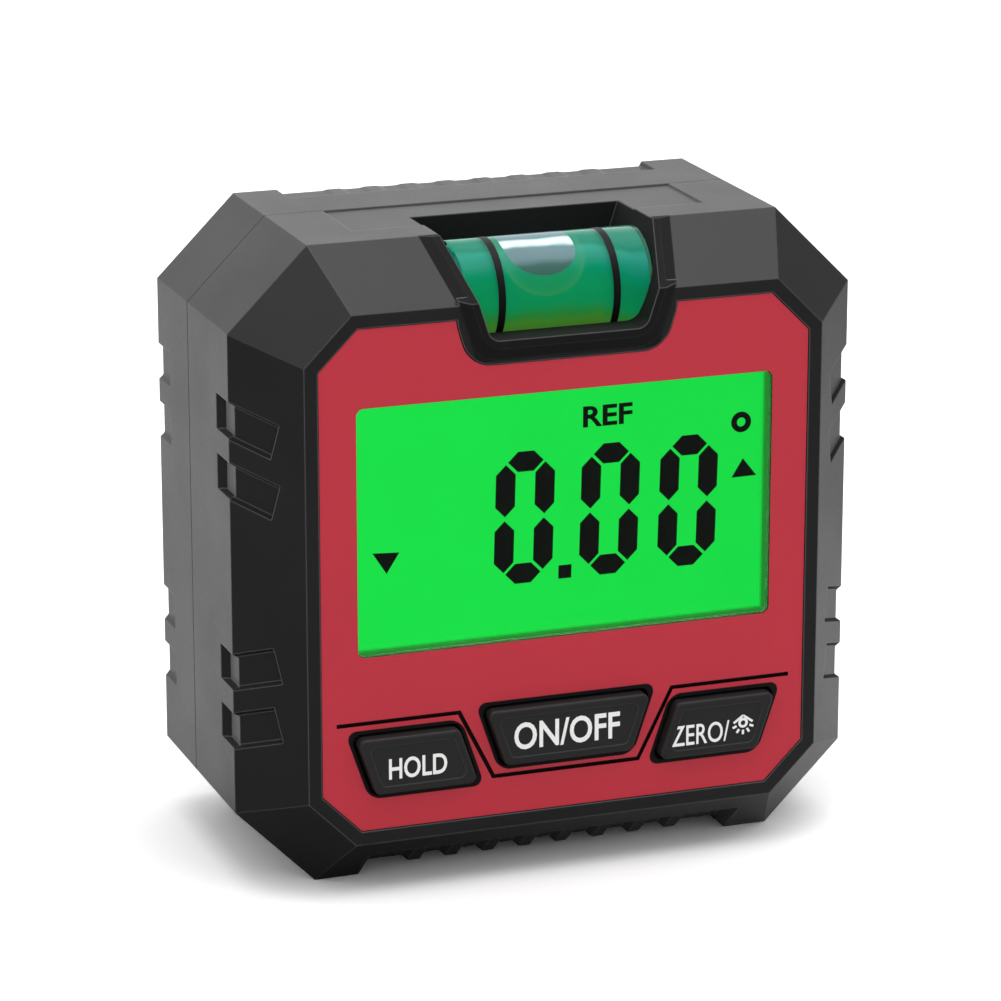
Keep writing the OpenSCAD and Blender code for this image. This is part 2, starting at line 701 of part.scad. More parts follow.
module rear_housing() {
  color([0.12, 0.12, 0.13]) difference() {
    union() {
      difference() {
        rear_outer();
        rear_cavity();
      }
      difference() {
        union() {
          plain_body(wall + slack, d_seam - lip, d_seam + lip / 2);
          plain_body(wall * 0.9, d_seam + lip / 3, d_seam + lip * 4 / 3);
        }
        plain_body(wall + slack + lip_t, d_seam - 2 * lip, d_seam + 2 * lip);
        magnet_bosses(slack);
      }
      intersection() {
        union() {
          rear_outer();
          plain_body(wall + slack, d_tray - 2 * tray_t, d_seam + lip / 2);
        }
        union() {
          block([-bay_hx - tray_t, d_tray - tray_t, zc - bay_hz - 2 * door_lap],
            [bay_hx + tray_t, body_d, zc + bay_hz + 2 * door_lap]);
          for (p = bosses) {
            bar_y(p[0], p[1], head_r + boss_r / 2, d_seam, body_d);
          }
        }
      }
    }
    block([-bay_hx, d_tray, zc - bay_hz], [bay_hx, body_d - door_t - bay_roof, zc + bay_hz]);
    block([-mouth_hx, d_tray, zc - bay_hz], [mouth_hx, body_d, zc + bay_hz]);
    deep(body_d - door_t, body_d + 1)
      round_poly(box_pts(door_hx + door_gap, door_hz + door_gap, 0, zc), door_r + door_gap);
    for (k = [-1, 1]) {
      block([leg_x - slack, d_tray - 2 * tray_t, zc + k * cell_dz - leg_half - slack],
        [leg_x + strip_t + slack, d_tray + tray_t, zc + k * cell_dz + leg_half + slack]);
    }
    for (p = bosses) {
      bar_y(p[0], p[1], screw_r + screw_gap, d_seam - 1, body_d);
      bar_y(p[0], p[1], head_r + screw_gap, d_seat, body_d + 1);
    }
    rear_edges();
  }
}

// Line of even width along a run of points, with mitred corners
function across(p, i) = [p[i][1] - p[i + 1][1], p[i + 1][0] - p[i][0]] / norm(p[i + 1] - p[i]);
function mitre(p, i) = unit(across(p, max(i - 1, 0)) + across(p, min(i, len(p) - 2)));
function beside(p, i, d) = p[i] + mitre(p, i) * d / (mitre(p, i) * across(p, min(i, len(p) - 2)));

module stroke(p, w) {
  n = len(p) - 1;
  polygon(concat([for (i = [0:n]) beside(p, i, w / 2)], [for (i = [n:-1:0]) beside(p, i, -w / 2)]));
}

module face_panel() {
  color([0.72, 0.13, 0.18]) difference() {
    deep(panel_sink, d_floor) panel_outline(0);
    deep(-1, d_floor + 1) round_poly(box_pts(win_hw, win_hh, 0, win_z), window_r);
    for (p = [hold_pts, power_pts, zero_pts]) {
      deep(-1, d_floor + 1) round_poly(p, button_r);
    }
    deep(-1, panel_sink + groove_depth) stroke([[-groove_x2, groove_hi], [-groove_x1, groove_hi],
      [-groove_x0, groove_lo], [groove_x0, groove_lo], [groove_x1, groove_hi],
      [groove_x2, groove_hi]], groove_w);
  }
}

module display_window() {
  color([0.85, 0.9, 0.9, 0.4]) union() {
    deep(panel_sink + lens_sink, d_floor + fit)
      round_poly(box_pts(win_hw - lens_fit, win_hh - lens_fit, 0, win_z), window_r);
    deep(d_floor, d_in - lens_gap) round_poly(box_pts(lens_hw, lens_hh, 0, win_z), window_r * 1.6);
  }
}

module lcd_glass() {
  color([0.2, 0.85, 0.35]) block([-lcd_hw, d_in, lcd_low], [lcd_hw, d_lcd, lcd_top]);
}

module light_guide() {
  color([0.8, 0.95, 0.8]) block([-lcd_hw, d_lcd, guide_low], [lcd_hw, d_board, lcd_top]);
}

module backlight_leds() {
  top = post_z[1] - post_r - led_under - led_w / 2;
  color([0.95, 0.95, 0.85]) for (z = [top - led_pitch, top]) {
    block([-lcd_hw - led_t, d_board - led_depth, z - led_w / 2], [-lcd_hw, d_board, z + led_w / 2]);
  }
}

module zebra_strip() {
  color([0.5, 0.2, 0.25]) block([-lcd_hw + zebra_in, d_lcd, lcd_low + 2 * slack],
    [lcd_hw - zebra_in, d_board, lcd_low + lcd_ledge - slack]);
}

module main_board() {
  color([0.1, 0.4, 0.2]) difference() {
    block([-post_x - board_edge, d_board, board_low],
      [post_x + board_edge, d_back, board_top]);
    for (k = [-1, 1]) {
      block([k > 0 ? boss_x - boss_r * 1.4 : -body_w, d_board - 1, 0],
        [k > 0 ? body_w : -boss_x + boss_r * 1.4, d_back + 1, zc - boss_dz + boss_r * 1.5]);
    }
    for (x = [-post_x, post_x], z = post_z) {
      bar_y(x, z, pin_r + slack, d_board - 1, d_back + 1);
    }
  }
}

module controller_chip() {
  color([0.1, 0.1, 0.1]) block([-chip_at - chip_side / 2, d_back, zc - chip_side / 2],
    [-chip_at + chip_side / 2, d_back + chip_t, zc + chip_side / 2]);
}

module tilt_sensor() {
  color([0.15, 0.15, 0.15]) block([sensor_at - sensor_side / 2, d_back, zc - sensor_low - sensor_side / 2],
    [sensor_at + sensor_side / 2, d_back + sensor_t, zc - sensor_low + sensor_side / 2]);
}

module switch_bodies() {
  half = switch_side / 2;
  color([0.2, 0.2, 0.22]) for (p = [hold_at, power_at, zero_at]) {
    difference() {
      block([p[0] - half, d_board - switch_h, p[1] - half], [p[0] + half, d_board, p[1] + half]);
      bar_y(p[0], p[1], plunger_r + fit, d_board - switch_h - 1, d_board - switch_h * 0.2);
    }
  }
}

module plunger(p) {
  color([0.75, 0.72, 0.65]) bar_y(p[0], p[1], plunger_r, stem_d, d_board - switch_h * 0.26 - button_travel);
}

module hold_plunger() {
  plunger(hold_at);
}

module power_plunger() {
  plunger(power_at);
}

module zero_plunger() {
  plunger(zero_at);
}

// Push cap with eased edges, a holding flange and a stem
module push_cap(pts, at) {
  cap = inset(pts, button_gap);
  r = button_r * 0.78;
  color([0.2, 0.2, 0.21]) union() {
    difference() {
      hull() {
        deep(-button_out + cap_ease * 1.1, d_in + flange_t / 8) round_poly(cap, r, $fn = 32);
        deep(-button_out + cap_ease * 0.36, d_in) round_poly(inset(cap, cap_ease * 0.31), r, $fn = 32);
        deep(-button_out, d_in) round_poly(inset(cap, cap_ease), r, $fn = 32);
      }
      deep(-button_out - 1, button_dish - button_out) round_poly(inset(cap, dish_rim), r);
    }
    deep(d_in, d_in + flange_t) round_poly(inset(pts, -button_flange), button_r);
    bar_y(at[0], at[1], stem_r, d_in + flange_t * 0.9, stem_d);
  }
}

module hold_button() {
  push_cap(hold_pts, hold_at);
}

module power_button() {
  push_cap(power_pts, power_at);
}

module zero_button() {
  push_cap(zero_pts, zero_at);
}

module vial_tube() {
  color([0.7, 0.9, 0.75, 0.5]) difference() {
    bar_x(vial_back, vial_z, vial_r, -vial_hx, vial_hx);
    bar_x(vial_back, vial_z, bore_r, -vial_hx + vial_end, vial_hx + 1);
    for (k = [-1, 1]) {
      difference() {
        bar_x(vial_back, vial_z, vial_r + 1, k * ring_at - ring_w / 2, k * ring_at + ring_w / 2);
        bar_x(vial_back, vial_z, vial_r - ring_depth, -vial_hx, vial_hx);
      }
    }
  }
}

module vial_liquid() {
  color([0.2, 0.75, 0.4]) difference() {
    bar_x(vial_back, vial_z, bore_r - fit / 2, -vial_hx + vial_end, vial_hx - plug_len);
    translate([0, y_face + vial_back, vial_z + bore_r - bubble_d * 9 / 22]) {
      translate([-bubble_len / 2 + bubble_d / 2, 0, 0]) rotate([0, 90, 0])
        cylinder(d = bubble_d, h = bubble_len - bubble_d);
      for (k = [-1, 1]) {
        translate([k * (bubble_len - bubble_d) / 2, 0, 0]) rotate([0, 90, 0]) sphere(d = bubble_d);
      }
    }
  }
}

module vial_plug() {
  color([0.75, 0.9, 0.8]) bar_x(vial_back, vial_z, bore_r - fit / 2, vial_hx - plug_len, vial_hx);
}

module vial_rings() {
  color([0.05, 0.05, 0.05]) for (k = [-1, 1]) {
    difference() {
      bar_x(vial_back, vial_z, vial_r + lay, k * ring_at - ring_w / 2, k * ring_at + ring_w / 2);
      bar_x(vial_back, vial_z, vial_r - ring_depth + lay, -vial_hx, vial_hx);
    }
  }
}

module base_magnets() {
  color([0.75, 0.76, 0.78]) for (i = [-1:1]) {
    translate([i * magnet_pitch, y_face + magnet_d0, fit]) cylinder(d = magnet_d, h = magnet_t);
  }
}

module battery_cells() {
  color([0.3, 0.35, 0.4]) for (k = [-1, 1]) {
    z = zc + k * cell_dz;
    mirror([k > 0 ? 1 : 0, 0, 0]) union() {
      bar_x(d_cell, z, cell_r, -cell_hx, cell_hx - nub_len);
      bar_x(d_cell, z, nub_r, cell_hx - 2 * nub_len, cell_hx);
    }
  }
}

// Bent leaf that presses on a cell's end, seen from above: s is the side
module leaf(s, z) {
  x0 = bay_hx - strip_t / 2;
  tip = cell_hx + strip_t / 2;
  translate([0, y_face, z - leaf_half]) mirror([s > 0 ? 0 : 1, 0, 0]) linear_extrude(height = 2 * leaf_half)
    stroke([[x0, d_tray + tray_t], [tip, d_cell - cell_r * 0.13], [tip, d_cell + cell_r * 0.13],
      [x0 - leaf_room * 0.18, d_cell + cell_r * 0.66]], strip_t);
}

module contact_bridge() {
  color([0.8, 0.8, 0.78]) union() {
    block([-bay_hx, d_tray, zc - bay_hz + 2 * cell_slack],
      [-bay_hx + strip_t, strip_top, zc + bay_hz - 2 * cell_slack]);
    for (k = [-1, 1]) {
      leaf(-1, zc + k * cell_dz);
    }
  }
}

module contact_tabs() {
  color([0.8, 0.8, 0.78]) for (k = [-1, 1]) {
    z = zc + k * cell_dz;
    union() {
      block([bay_hx - strip_t, d_tray, z - leaf_half * 1.6], [bay_hx, strip_top, z + leaf_half * 1.6]);
      leaf(1, z);
      block([leg_x, d_tray, z - leg_half], [bay_hx, d_tray + strip_t, z + leg_half]);
      block([leg_x, d_back, z - leg_half], [leg_x + strip_t, d_tray + strip_t, z + leg_half]);
    }
  }
}

module battery_door() {
  tab_z = bay_hz - door_gap - tab_t;
  color([0.13, 0.13, 0.14]) difference() {
    union() {
      deep(body_d - door_t, body_d) round_poly(box_pts(door_hx, door_hz, 0, zc), door_r);
      for (x = [-tab_at, tab_at], k = [0, 1]) {
        translate([0, 0, zc]) mirror([0, 0, k]) block([x - tab_half, body_d - door_t - tab_len, tab_z],
          [x + tab_half, body_d - door_t + lay, tab_z + tab_t]);
      }
    }
    bar_y(0, zc + door_hz + dip_r / 2, dip_r, body_d - dip_depth, body_d + 1);
  }
}

module housing_screws() {
  color([0.6, 0.6, 0.62]) for (p = bosses) {
    union() {
      bar_y(p[0], p[1], head_r, d_seat, d_seat + head_h);
      bar_y(p[0], p[1], screw_r, d_tip, d_seat + lay);
    }
  }
}

module board_screws() {
  color([0.6, 0.6, 0.62]) for (x = [-post_x, post_x], z = post_z) {
    union() {
      bar_y(x, z, post_r, d_back, d_back + pin_head);
      bar_y(x, z, pin_r, d_in + lcd_t / 2, d_back + lay);
    }
  }
}

front_housing();
rear_housing();
face_panel();
display_window();
lcd_glass();
light_guide();
backlight_leds();
zebra_strip();
main_board();
controller_chip();
tilt_sensor();
switch_bodies();
hold_plunger();
power_plunger();
zero_plunger();
hold_button();
power_button();
zero_button();
vial_tube();
vial_liquid();
vial_plug();
vial_rings();
base_magnets();
battery_cells();
contact_bridge();
contact_tabs();
battery_door();
housing_screws();
board_screws();
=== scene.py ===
"""Looks of a pocket digital angle gauge: black case, red face, lit display, keys and a spirit vial."""

import logging
import math
from dataclasses import dataclass
from enum import Enum
from functools import partial, reduce
from typing import Any, Callable, Sequence

import bpy
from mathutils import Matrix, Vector


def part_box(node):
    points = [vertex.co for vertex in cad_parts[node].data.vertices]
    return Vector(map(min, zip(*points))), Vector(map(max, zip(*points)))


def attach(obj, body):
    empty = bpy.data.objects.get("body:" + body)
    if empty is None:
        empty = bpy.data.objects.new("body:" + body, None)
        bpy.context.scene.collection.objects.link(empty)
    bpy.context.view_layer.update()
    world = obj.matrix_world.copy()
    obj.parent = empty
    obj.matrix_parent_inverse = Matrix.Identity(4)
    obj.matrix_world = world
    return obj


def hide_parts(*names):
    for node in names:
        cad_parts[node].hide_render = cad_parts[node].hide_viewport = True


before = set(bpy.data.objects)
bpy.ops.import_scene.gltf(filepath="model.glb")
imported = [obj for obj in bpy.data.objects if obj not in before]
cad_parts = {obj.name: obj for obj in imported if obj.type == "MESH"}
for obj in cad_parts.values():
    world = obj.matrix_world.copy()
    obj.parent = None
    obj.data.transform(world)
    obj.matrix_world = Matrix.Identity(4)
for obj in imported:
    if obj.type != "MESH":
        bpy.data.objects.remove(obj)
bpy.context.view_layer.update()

log = logging.getLogger("angle_gauge")
logging.basicConfig(level=logging.INFO, format="%(name)s: %(message)s")

Colour = tuple[float, float, float]
Point = tuple[float, float]
Place = tuple[float, float, float]
Stops = tuple[tuple[float, Colour], ...]
Socket = bpy.types.NodeSocket
Piece = bpy.types.Object

MM = 0.001
SAME = 1e-6  # metres within which two places count as one
DOUBLE = 1e-7  # metres within which two corners are merged
NOISE_LOW, NOISE_HIGH = 0.3, 0.7  # nearly all of a noise lies between these
RAW_DEPTH = 0.1  # depth of raised words before they are fitted to their box
CURVE_STEPS = 4  # flats in each curve of a letter
TO_FRONT: Place = (math.pi / 2, 0.0, 0.0)  # turns of what was facing up
TO_BACK: Place = (-math.pi / 2, 0.0, 0.0)
TO_RIGHT: Place = (0.0, math.pi / 2, 0.0)
WHITE: Colour = (1.0, 1.0, 1.0)


class Body(Enum):
    """The moving bodies that a new piece can ride on."""

    CASE = "case"
    HOLD = "hold"
    POWER = "power"
    ZERO = "zero"


class Slot(Enum):
    """The finishes that the record names for new pieces."""

    FIGURE = "ring_black"
    LEGEND = "led_white"
    GLASS = "vial_clear"
    SPIRIT = "vial_liquid"
    SCREW = "screw_steel"


class Detail(Enum):
    """How finely a noise is broken up."""

    SOFT = 2.0
    PLAIN = 3.0
    FINE = 4.0
    SCRATCHED = 5.0


class Cut(Enum):
    """What a cut leaves of a piece."""

    OUTSIDE = "DIFFERENCE"
    INSIDE = "INTERSECT"


def toned(colour: Colour, share: float, lift: float = 0.0) -> Colour:
    """Makes a colour darker or lighter by a share, and then by a lift."""
    return tuple(c * share + lift for c in colour)


class Nodes:
    """A node tree, with short calls for its nodes and links."""

    def __init__(self, tree: bpy.types.NodeTree) -> None:
        """Takes a tree and empties it."""
        self.tree = tree
        tree.nodes.clear()

    def node(self, kind: str, values: dict[Any, Any] | None = None, **settings: Any) -> bpy.types.Node:
        """Adds a node.

        Args:
            kind: Blender's name of the node, after "ShaderNode".
            values: Sockets by name or number, each with a number, a colour or an output to link.
            settings: Options of the node itself.

        Returns:
            The new node.
        """
        made = self.tree.nodes.new("ShaderNode" + kind)
        for option, value in settings.items():
            setattr(made, option, value)
        for socket, value in (values or {}).items():
            self.put(made.inputs[socket], value)
        return made

    def put(self, socket: Socket, value: Any) -> None:
        """Sets a socket to a number or colour, or links an output to it.

        Args:
            socket: The input to set.
            value: A number, a colour or another node's output.
        """
        if isinstance(value, Socket):
            self.tree.links.new(value, socket)
        elif isinstance(value, tuple) and len(value) == 3 and socket.type == "RGBA":
            socket.default_value = (*value, 1.0)
        else:
            socket.default_value = value

    def maths(self, job: str, first: Any, second: Any = 0.0, third: Any = 0.0) -> Socket:
        """Works out one sum of up to three values."""
        return self.node("Math", {0: first, 1: second, 2: third}, operation=job).outputs[0]

    def chain(self, job: str, *values: Any) -> Socket:
        """Works out the same sum along a row of values."""
        return reduce(partial(self.maths, job), values)

    def ranged(self, value: Socket, low: float, high: float, to_low: float, to_high: float,
               **settings: Any) -> Socket:
        """Maps a value from one range to another, held at the ends."""
        values = {"Value": value, "From Min": low, "From Max": high, "To Min": to_low, "To Max": to_high}
        return self.node("MapRange", values, **settings).outputs["Result"]


class Recipe(Nodes):
    """One material's nodes, with a shader joined to its output."""

    def __init__(self, name: str) -> None:
        """Starts a material.

        Args:
            name: Name of the material.
        """
        self.material = bpy.data.materials.new(name)
        self.material.use_nodes = True
        super().__init__(self.material.node_tree)
        self.out = self.node("OutputMaterial")
        self.shader = self.node("BsdfPrincipled")
        self.put(self.out.inputs["Surface"], self.shader.outputs[0])
        self.place = self.node("TexCoord").outputs["Object"]

    def surface(self, **values: Any) -> None:
        """Sets the shader's sockets, named with underscores for spaces."""
        for socket, value in values.items():
            self.put(self.shader.inputs[socket.replace("_", " ")], value)

    def noise(self, grain_mm: float, detail: Detail = Detail.PLAIN) -> Socket:
        """Gives a cloudy value from 0 to 1 with grains of a size in millimetres."""
        values = {"Vector": self.place, "Scale": 1.0 / (grain_mm * MM), "Detail": detail.value}
        return self.node("TexNoise", values).outputs[0]

    def spread(self, noise: Socket, low: float, high: float) -> Socket:
        """Maps a noise to a range."""
        return self.ranged(noise, NOISE_LOW, NOISE_HIGH, low, high)

    def mixed(self, share: Any, first: Any, second: Any) -> Socket:
        """Mixes two colours by a share from 0 to 1."""
        return self.node("Mix", {0: share, 6: first, 7: second}, data_type="RGBA").outputs[2]

    def axis(self, letter: str) -> Socket:
        """Gives the place along one axis in metres."""
        return self.node("SeparateXYZ", {0: self.place}).outputs[letter]

    def aside(self, letter: str, middle: float = 0.0, half: float = 0.0) -> Socket:
        """Gives how far a place lies past a half width either side of a middle, in metres."""
        away = self.maths("ABSOLUTE", self.maths("SUBTRACT", self.axis(letter), middle))
        return self.maths("SUBTRACT", away, half)

    def under(self, value: Socket, limit_mm: float) -> Socket:
        """Gives 1 where a length is below a limit in millimetres, and 0 elsewhere."""
        return self.maths("LESS_THAN", value, limit_mm * MM)

    def past(self, value: Socket, limit_mm: float) -> Socket:
        """Gives 1 where a length is above a limit in millimetres, and 0 elsewhere."""
        return self.maths("GREATER_THAN", value, limit_mm * MM)

    def between(self, value: Socket, low_mm: float, high_mm: float) -> Socket:
        """Gives 1 where a length lies between two limits in millimetres, and 0 elsewhere."""
        return self.maths("MULTIPLY", self.past(value, low_mm), self.under(value, high_mm))

    def rounded(self, beside: Socket, over: Socket, corner_mm: float) -> Socket:
        """Gives how far a place lies outside a box with rounded corners.

        Args:
            beside: How far it lies past the nearer side in metres.
            over: How far it lies past the nearer of the other two sides in metres.
            corner_mm: Radius of the corners.

        Returns:
            The distance in metres, below 0 inside.
        """
        corner = corner_mm * MM
        reach = [self.maths("MAXIMUM", self.maths("ADD", d, corner), 0.0) for d in (beside, over)]
        squares = [self.maths("POWER", d, 2.0) for d in reach]
        return self.maths("SUBTRACT", self.maths("SQRT", self.maths("ADD", *squares)), corner)

    def ramp(self, value: Socket, stops: Stops, hard: bool = False) -> Socket:
        """Colours a value from 0 to 1 by a row of stops.

        Args:
            value: What is coloured.
            stops: Place and colour of each stop, in order.
            hard: Whether the colour jumps at each stop.

        Returns:
            The colour.
        """
        made = self.node("ValToRGB", {0: value})
        made.color_ramp.interpolation = "CONSTANT" if hard else "LINEAR"
        elements = made.color_ramp.elements
        while len(elements) < len(stops):
            elements.new(0.5)  # moved to its place below
        for element, (place, colour) in zip(elements, stops):
            element.position = place
            element.color = (*colour, 1.0)
        return made.outputs[0]

    def edges(self, radius_mm: float, sharp: float = 0.88, flat: float = 0.995,
              samples: int = 6) -> tuple[Socket, Socket]:
        """Rounds the shading of sharp edges.

        Args:
            radius_mm: Width of the rounding.
            sharp: Likeness of the rounded and the true normal on an edge.
            flat: Their likeness from which a face counts as flat.
            samples: How many rays the rounding takes.

        Returns:
            The rounded normal, and a mask that is 1 on the edges.
        """
        rounded = self.node("Bevel", {"Radius": radius_mm * MM}, samples=samples).outputs[0]
        true = self.node("NewGeometry").outputs["Normal"]
        likeness = self.node("VectorMath", {0: rounded, 1: true}, operation="DOT_PRODUCT")
        return rounded, self.ranged(likeness.outputs["Value"], sharp, flat, 1.0, 0.0)

    def bump(self, height: Socket, depth_mm: float, normal: Socket | None = None) -> Socket:
        """Turns a height into a bumped normal.

        Args:
            height: The height, from 0 to 1.
            depth_mm: Depth that it stands for.
            normal: The normal that it is laid on, where that isn't the piece's own.

        Returns:
            The bumped normal.
        """
        values = {"Strength": 1.0, "Distance": depth_mm * MM, "Height": height}
        if normal is not None:
            values["Normal"] = normal
        return self.node("Bump", values).outputs[0]


@dataclass(frozen=True)
class Finish:
    """A finish of some of the object's pieces."""

    name: str

    def make(self) -> bpy.types.Material:
        """Makes the material.

        Returns:
            The material.
        """
        r = Recipe(self.name)
        self.paint(r)
        return r.material

    def paint(self, r: Recipe) -> None:
        """Sets the material's nodes, which each kind of finish does in its own way."""
        raise NotImplementedError


@dataclass(frozen=True)
class Moulded(Finish):
    """Moulded plastic or rubber with a fine grain and a painted highlight that lightens its edges."""

    colour: Colour
    roughness: float = 0.42
    level: float = 0.5
    grain_mm: float = 0.22
    depth_mm: float = 0.004
    edge_mm: float = 0.18
    # lift of the painted highlight on the edges
    edge_highlight: float = 0.02
    cloud_mm: float = 9.0
    cloud_tone: Point = (1.25, 0.0008)  # share and lift of its lighter clouds
    uneven: float = 0.05
    # share of the colour kept where shade is painted
    shade_tone: float = 0.4
    matt_rough: float = 0.45

    def paint(self, r: Recipe) -> None:
        """Sets the plastic's nodes.

        Args:
            r: The material being made.
        """
        normal, mask = r.edges(self.edge_mm)
        grain, cloud = r.noise(self.grain_mm), r.noise(self.cloud_mm, Detail.FINE)
        body = r.mixed(cloud, self.colour, toned(self.colour, *self.cloud_tone))
        limits = (self.roughness - self.uneven, self.roughness + self.uneven)
        rough = r.ranged(r.maths("ADD", grain, cloud), 2 * NOISE_LOW, 2 * NOISE_HIGH, *limits)
        matt = self.matt(r)
        if matt is not None:
            # painted shade: the colour is darkened under the mask
            body = r.mixed(matt, body, toned(self.colour, self.shade_tone))
            rough = r.maths("ADD", rough, r.maths("MULTIPLY", matt, self.matt_rough))
        # painted highlight: the edges are painted lighter than the body
        edge_lit = r.mixed(mask, body, toned(self.colour, 1.0, self.edge_highlight))
        r.surface(Base_Color=edge_lit, Roughness=rough, Specular_IOR_Level=self.level)
        r.surface(Normal=r.bump(grain, self.depth_mm, normal))

    def matt(self, r: Recipe) -> Socket | None:
        """Gives a mask of where the surface is left matt and painted darker as shade, or nothing."""
        return None


@dataclass(frozen=True)
class CasePlastic(Moulded):
    """Case plastic, left matt and painted darker in the vial's pocket, on its collar and in the edge notches;
    in the pocket and the notches the darkening is painted shade.
    """

    half_mm: float = 10.2  # half width of the pocket at the top
    lean: float = 0.325  # how far its walls come in per height
    floor_mm: float = 51.4
    top_mm: float = 60.0
    collar_mm: float = 1.9
    bevel_mm: float = -9.4  # the collar lies before this depth
    back_mm: float = -1.5  # the pocket lies before this depth
    near_mm: float = 0.1  # the pocket's walls are taken in up to this far
    side_mm: float = 30.0  # half width of the case
    middle_mm: float = 30.0  # height midway between the upper and lower notches
    reach_mm: float = 19.0  # how far they go up and down from there
    fold_mm: float = -9.55  # depth where the side folds into the bevel
    face_mm: float = -15.55  # depth where the bevel meets the face
    inset_mm: float = 5.2  # how far the bevel comes in
    notch_mm: float = 0.53  # depth of the notches
    notch_back_mm: float = 3.95  # how far they run back along the side
    notch_share: float = 0.6  # share of their depth that is matt and painted in shade
    skin_mm: float = 0.02  # what lies less deep than this is outside
    margin_mm: float = 0.05  # what is left out beside the fold and the face
    wrap_mm: float = 0.3  # how far the bevel's part goes on past the fold

    def notches(self, r: Recipe) -> Socket:
        """Gives a mask of the walls and sloping ends of the notches on the upright front edges.

        Args:
            r: The material being made.

        Returns:
            The mask, 1 in the notches.
        """
        aside, y = r.maths("ABSOLUTE", r.axis("X")), r.axis("Y")
        run = self.fold_mm - self.face_mm
        length = math.hypot(run, self.inset_mm)
        inwards = r.maths("MULTIPLY", r.maths("SUBTRACT", aside, self.side_mm * MM), run / length)
        forwards = r.maths("MULTIPLY", r.maths("SUBTRACT", y, self.fold_mm * MM), -self.inset_mm / length)
        depth = r.maths("ADD", inwards, forwards)
        sunk_shade = r.between(depth, -self.notch_share * self.notch_mm, -self.skin_mm)
        bevel = r.between(y, self.face_mm + self.margin_mm, self.fold_mm + self.wrap_mm)
        side = r.between(y, self.fold_mm + self.margin_mm, self.fold_mm + self.notch_back_mm)
        walls = r.maths("MULTIPLY", side, r.past(aside, self.side_mm - self.notch_mm))
        either = r.maths("MAXIMUM", r.maths("MULTIPLY", sunk_shade, bevel), walls)
        level = r.under(r.aside("Z", self.middle_mm * MM), self.reach_mm)
        return r.chain("MULTIPLY", either, r.under(aside, self.side_mm - 2 * self.skin_mm), level)

    def matt(self, r: Recipe) -> Socket:
        """Gives a mask of the pocket, its collar and the notches.

        Args:
            r: The material being made.

        Returns:
            The mask, 1 where the plastic is matt and painted darker.
        """
        y, up = r.axis("Y"), r.axis("Z")
        slope = r.maths("MULTIPLY", r.maths("SUBTRACT", self.top_mm * MM, up), self.lean)
        reach = r.maths("ADD", r.maths("ABSOLUTE", r.axis("X")), slope)
        beyond = r.maths("SUBTRACT", reach, self.half_mm * MM)
        on_collar, on_bevel = r.under(beyond, self.collar_mm), r.under(y, self.bevel_mm)
        collar = r.chain("MULTIPLY", on_collar, on_bevel, r.past(up, self.floor_mm - self.collar_mm))
        height = r.between(up, self.floor_mm - 2 * self.near_mm, self.top_mm - self.near_mm)
        pocket = r.chain("MULTIPLY", r.under(beyond, self.near_mm), height, r.under(y, self.back_mm))
        return r.chain("MAXIMUM", collar, pocket, self.notches(r))


@dataclass(frozen=True)
class GapShade:
    """Black shade painted round one button opening, where the gap round its cap lies, with level upper and
    lower edges.
    """

    low_mm: float
    high_mm: float
    left_mm: float
    right_mm: float
    left_lean: float
    right_lean: float
    corner_mm: float = 0.8
    fade_mm: float = 0.03

    def mask(self, r: Recipe, wide_mm: float) -> Socket:
        """Gives where the shade round the opening is painted.

        Args:
            r: The material being made.
            wide_mm: Width of the border.

        Returns:
            The mask, 1 on the border.
        """
        x, z = r.axis("X"), r.axis("Z")
        low, high = self.low_mm * MM, self.high_mm * MM
        up = r.maths("SUBTRACT", z, low)
        left = r.maths("ADD", r.maths("MULTIPLY", up, self.left_lean), self.left_mm * MM)
        right = r.maths("ADD", r.maths("MULTIPLY", up, self.right_lean), self.right_mm * MM)
        beside = r.maths("MAXIMUM", r.maths("SUBTRACT", left, x), r.maths("SUBTRACT", x, right))
        over = r.maths("MAXIMUM", r.maths("SUBTRACT", low, z), r.maths("SUBTRACT", z, high))
        away = r.rounded(beside, over, self.corner_mm)
        return r.ranged(away, (wide_mm - self.fade_mm) * MM, (wide_mm + self.fade_mm) * MM, 1.0, 0.0)


@dataclass(frozen=True)
class PanelFilm(Finish):
    """Red face panel with a satin grain, black shade painted round its openings, and near black shade painted
    in its sunken line and on its edges.
    """

    colour: Colour
    sunk_shade: Colour
    front: float
    gap_shades: tuple[GapShade, ...]
    depth_mm: float = 0.06  # below the front, where the painted black shade begins
    fade_mm: float = 0.03
    # width of the painted shade round each opening
    gap_shade_mm: float = 0.36
    grain_mm: float = 0.16
    grain_depth_mm: float = 0.0025
    cloud_mm: float = 14.0
    tones: Point = (0.96, 1.04)
    rough: Point = (0.4, 0.5)
    level: float = 0.5

    def paint(self, r: Recipe) -> None:
        """Sets the panel's nodes.

        Args:
            r: The material being made.
        """
        grain = r.noise(self.grain_mm)
        cloud = r.noise(self.cloud_mm, Detail.SOFT)
        red = r.mixed(cloud, *(toned(self.colour, tone) for tone in self.tones))
        # painted shade: all that lies deeper than the front is painted near black
        depth = self.front + self.depth_mm * MM
        dark = r.ranged(r.axis("Y"), depth, depth + self.fade_mm * MM, 0.0, 1.0)
        dark = r.chain("MAXIMUM", dark, *(border.mask(r, self.gap_shade_mm) for border in self.gap_shades))
        r.surface(Base_Color=r.mixed(dark, red, self.sunk_shade), Specular_IOR_Level=self.level)
        r.surface(Roughness=r.spread(grain, *self.rough), Normal=r.bump(grain, self.grain_depth_mm))


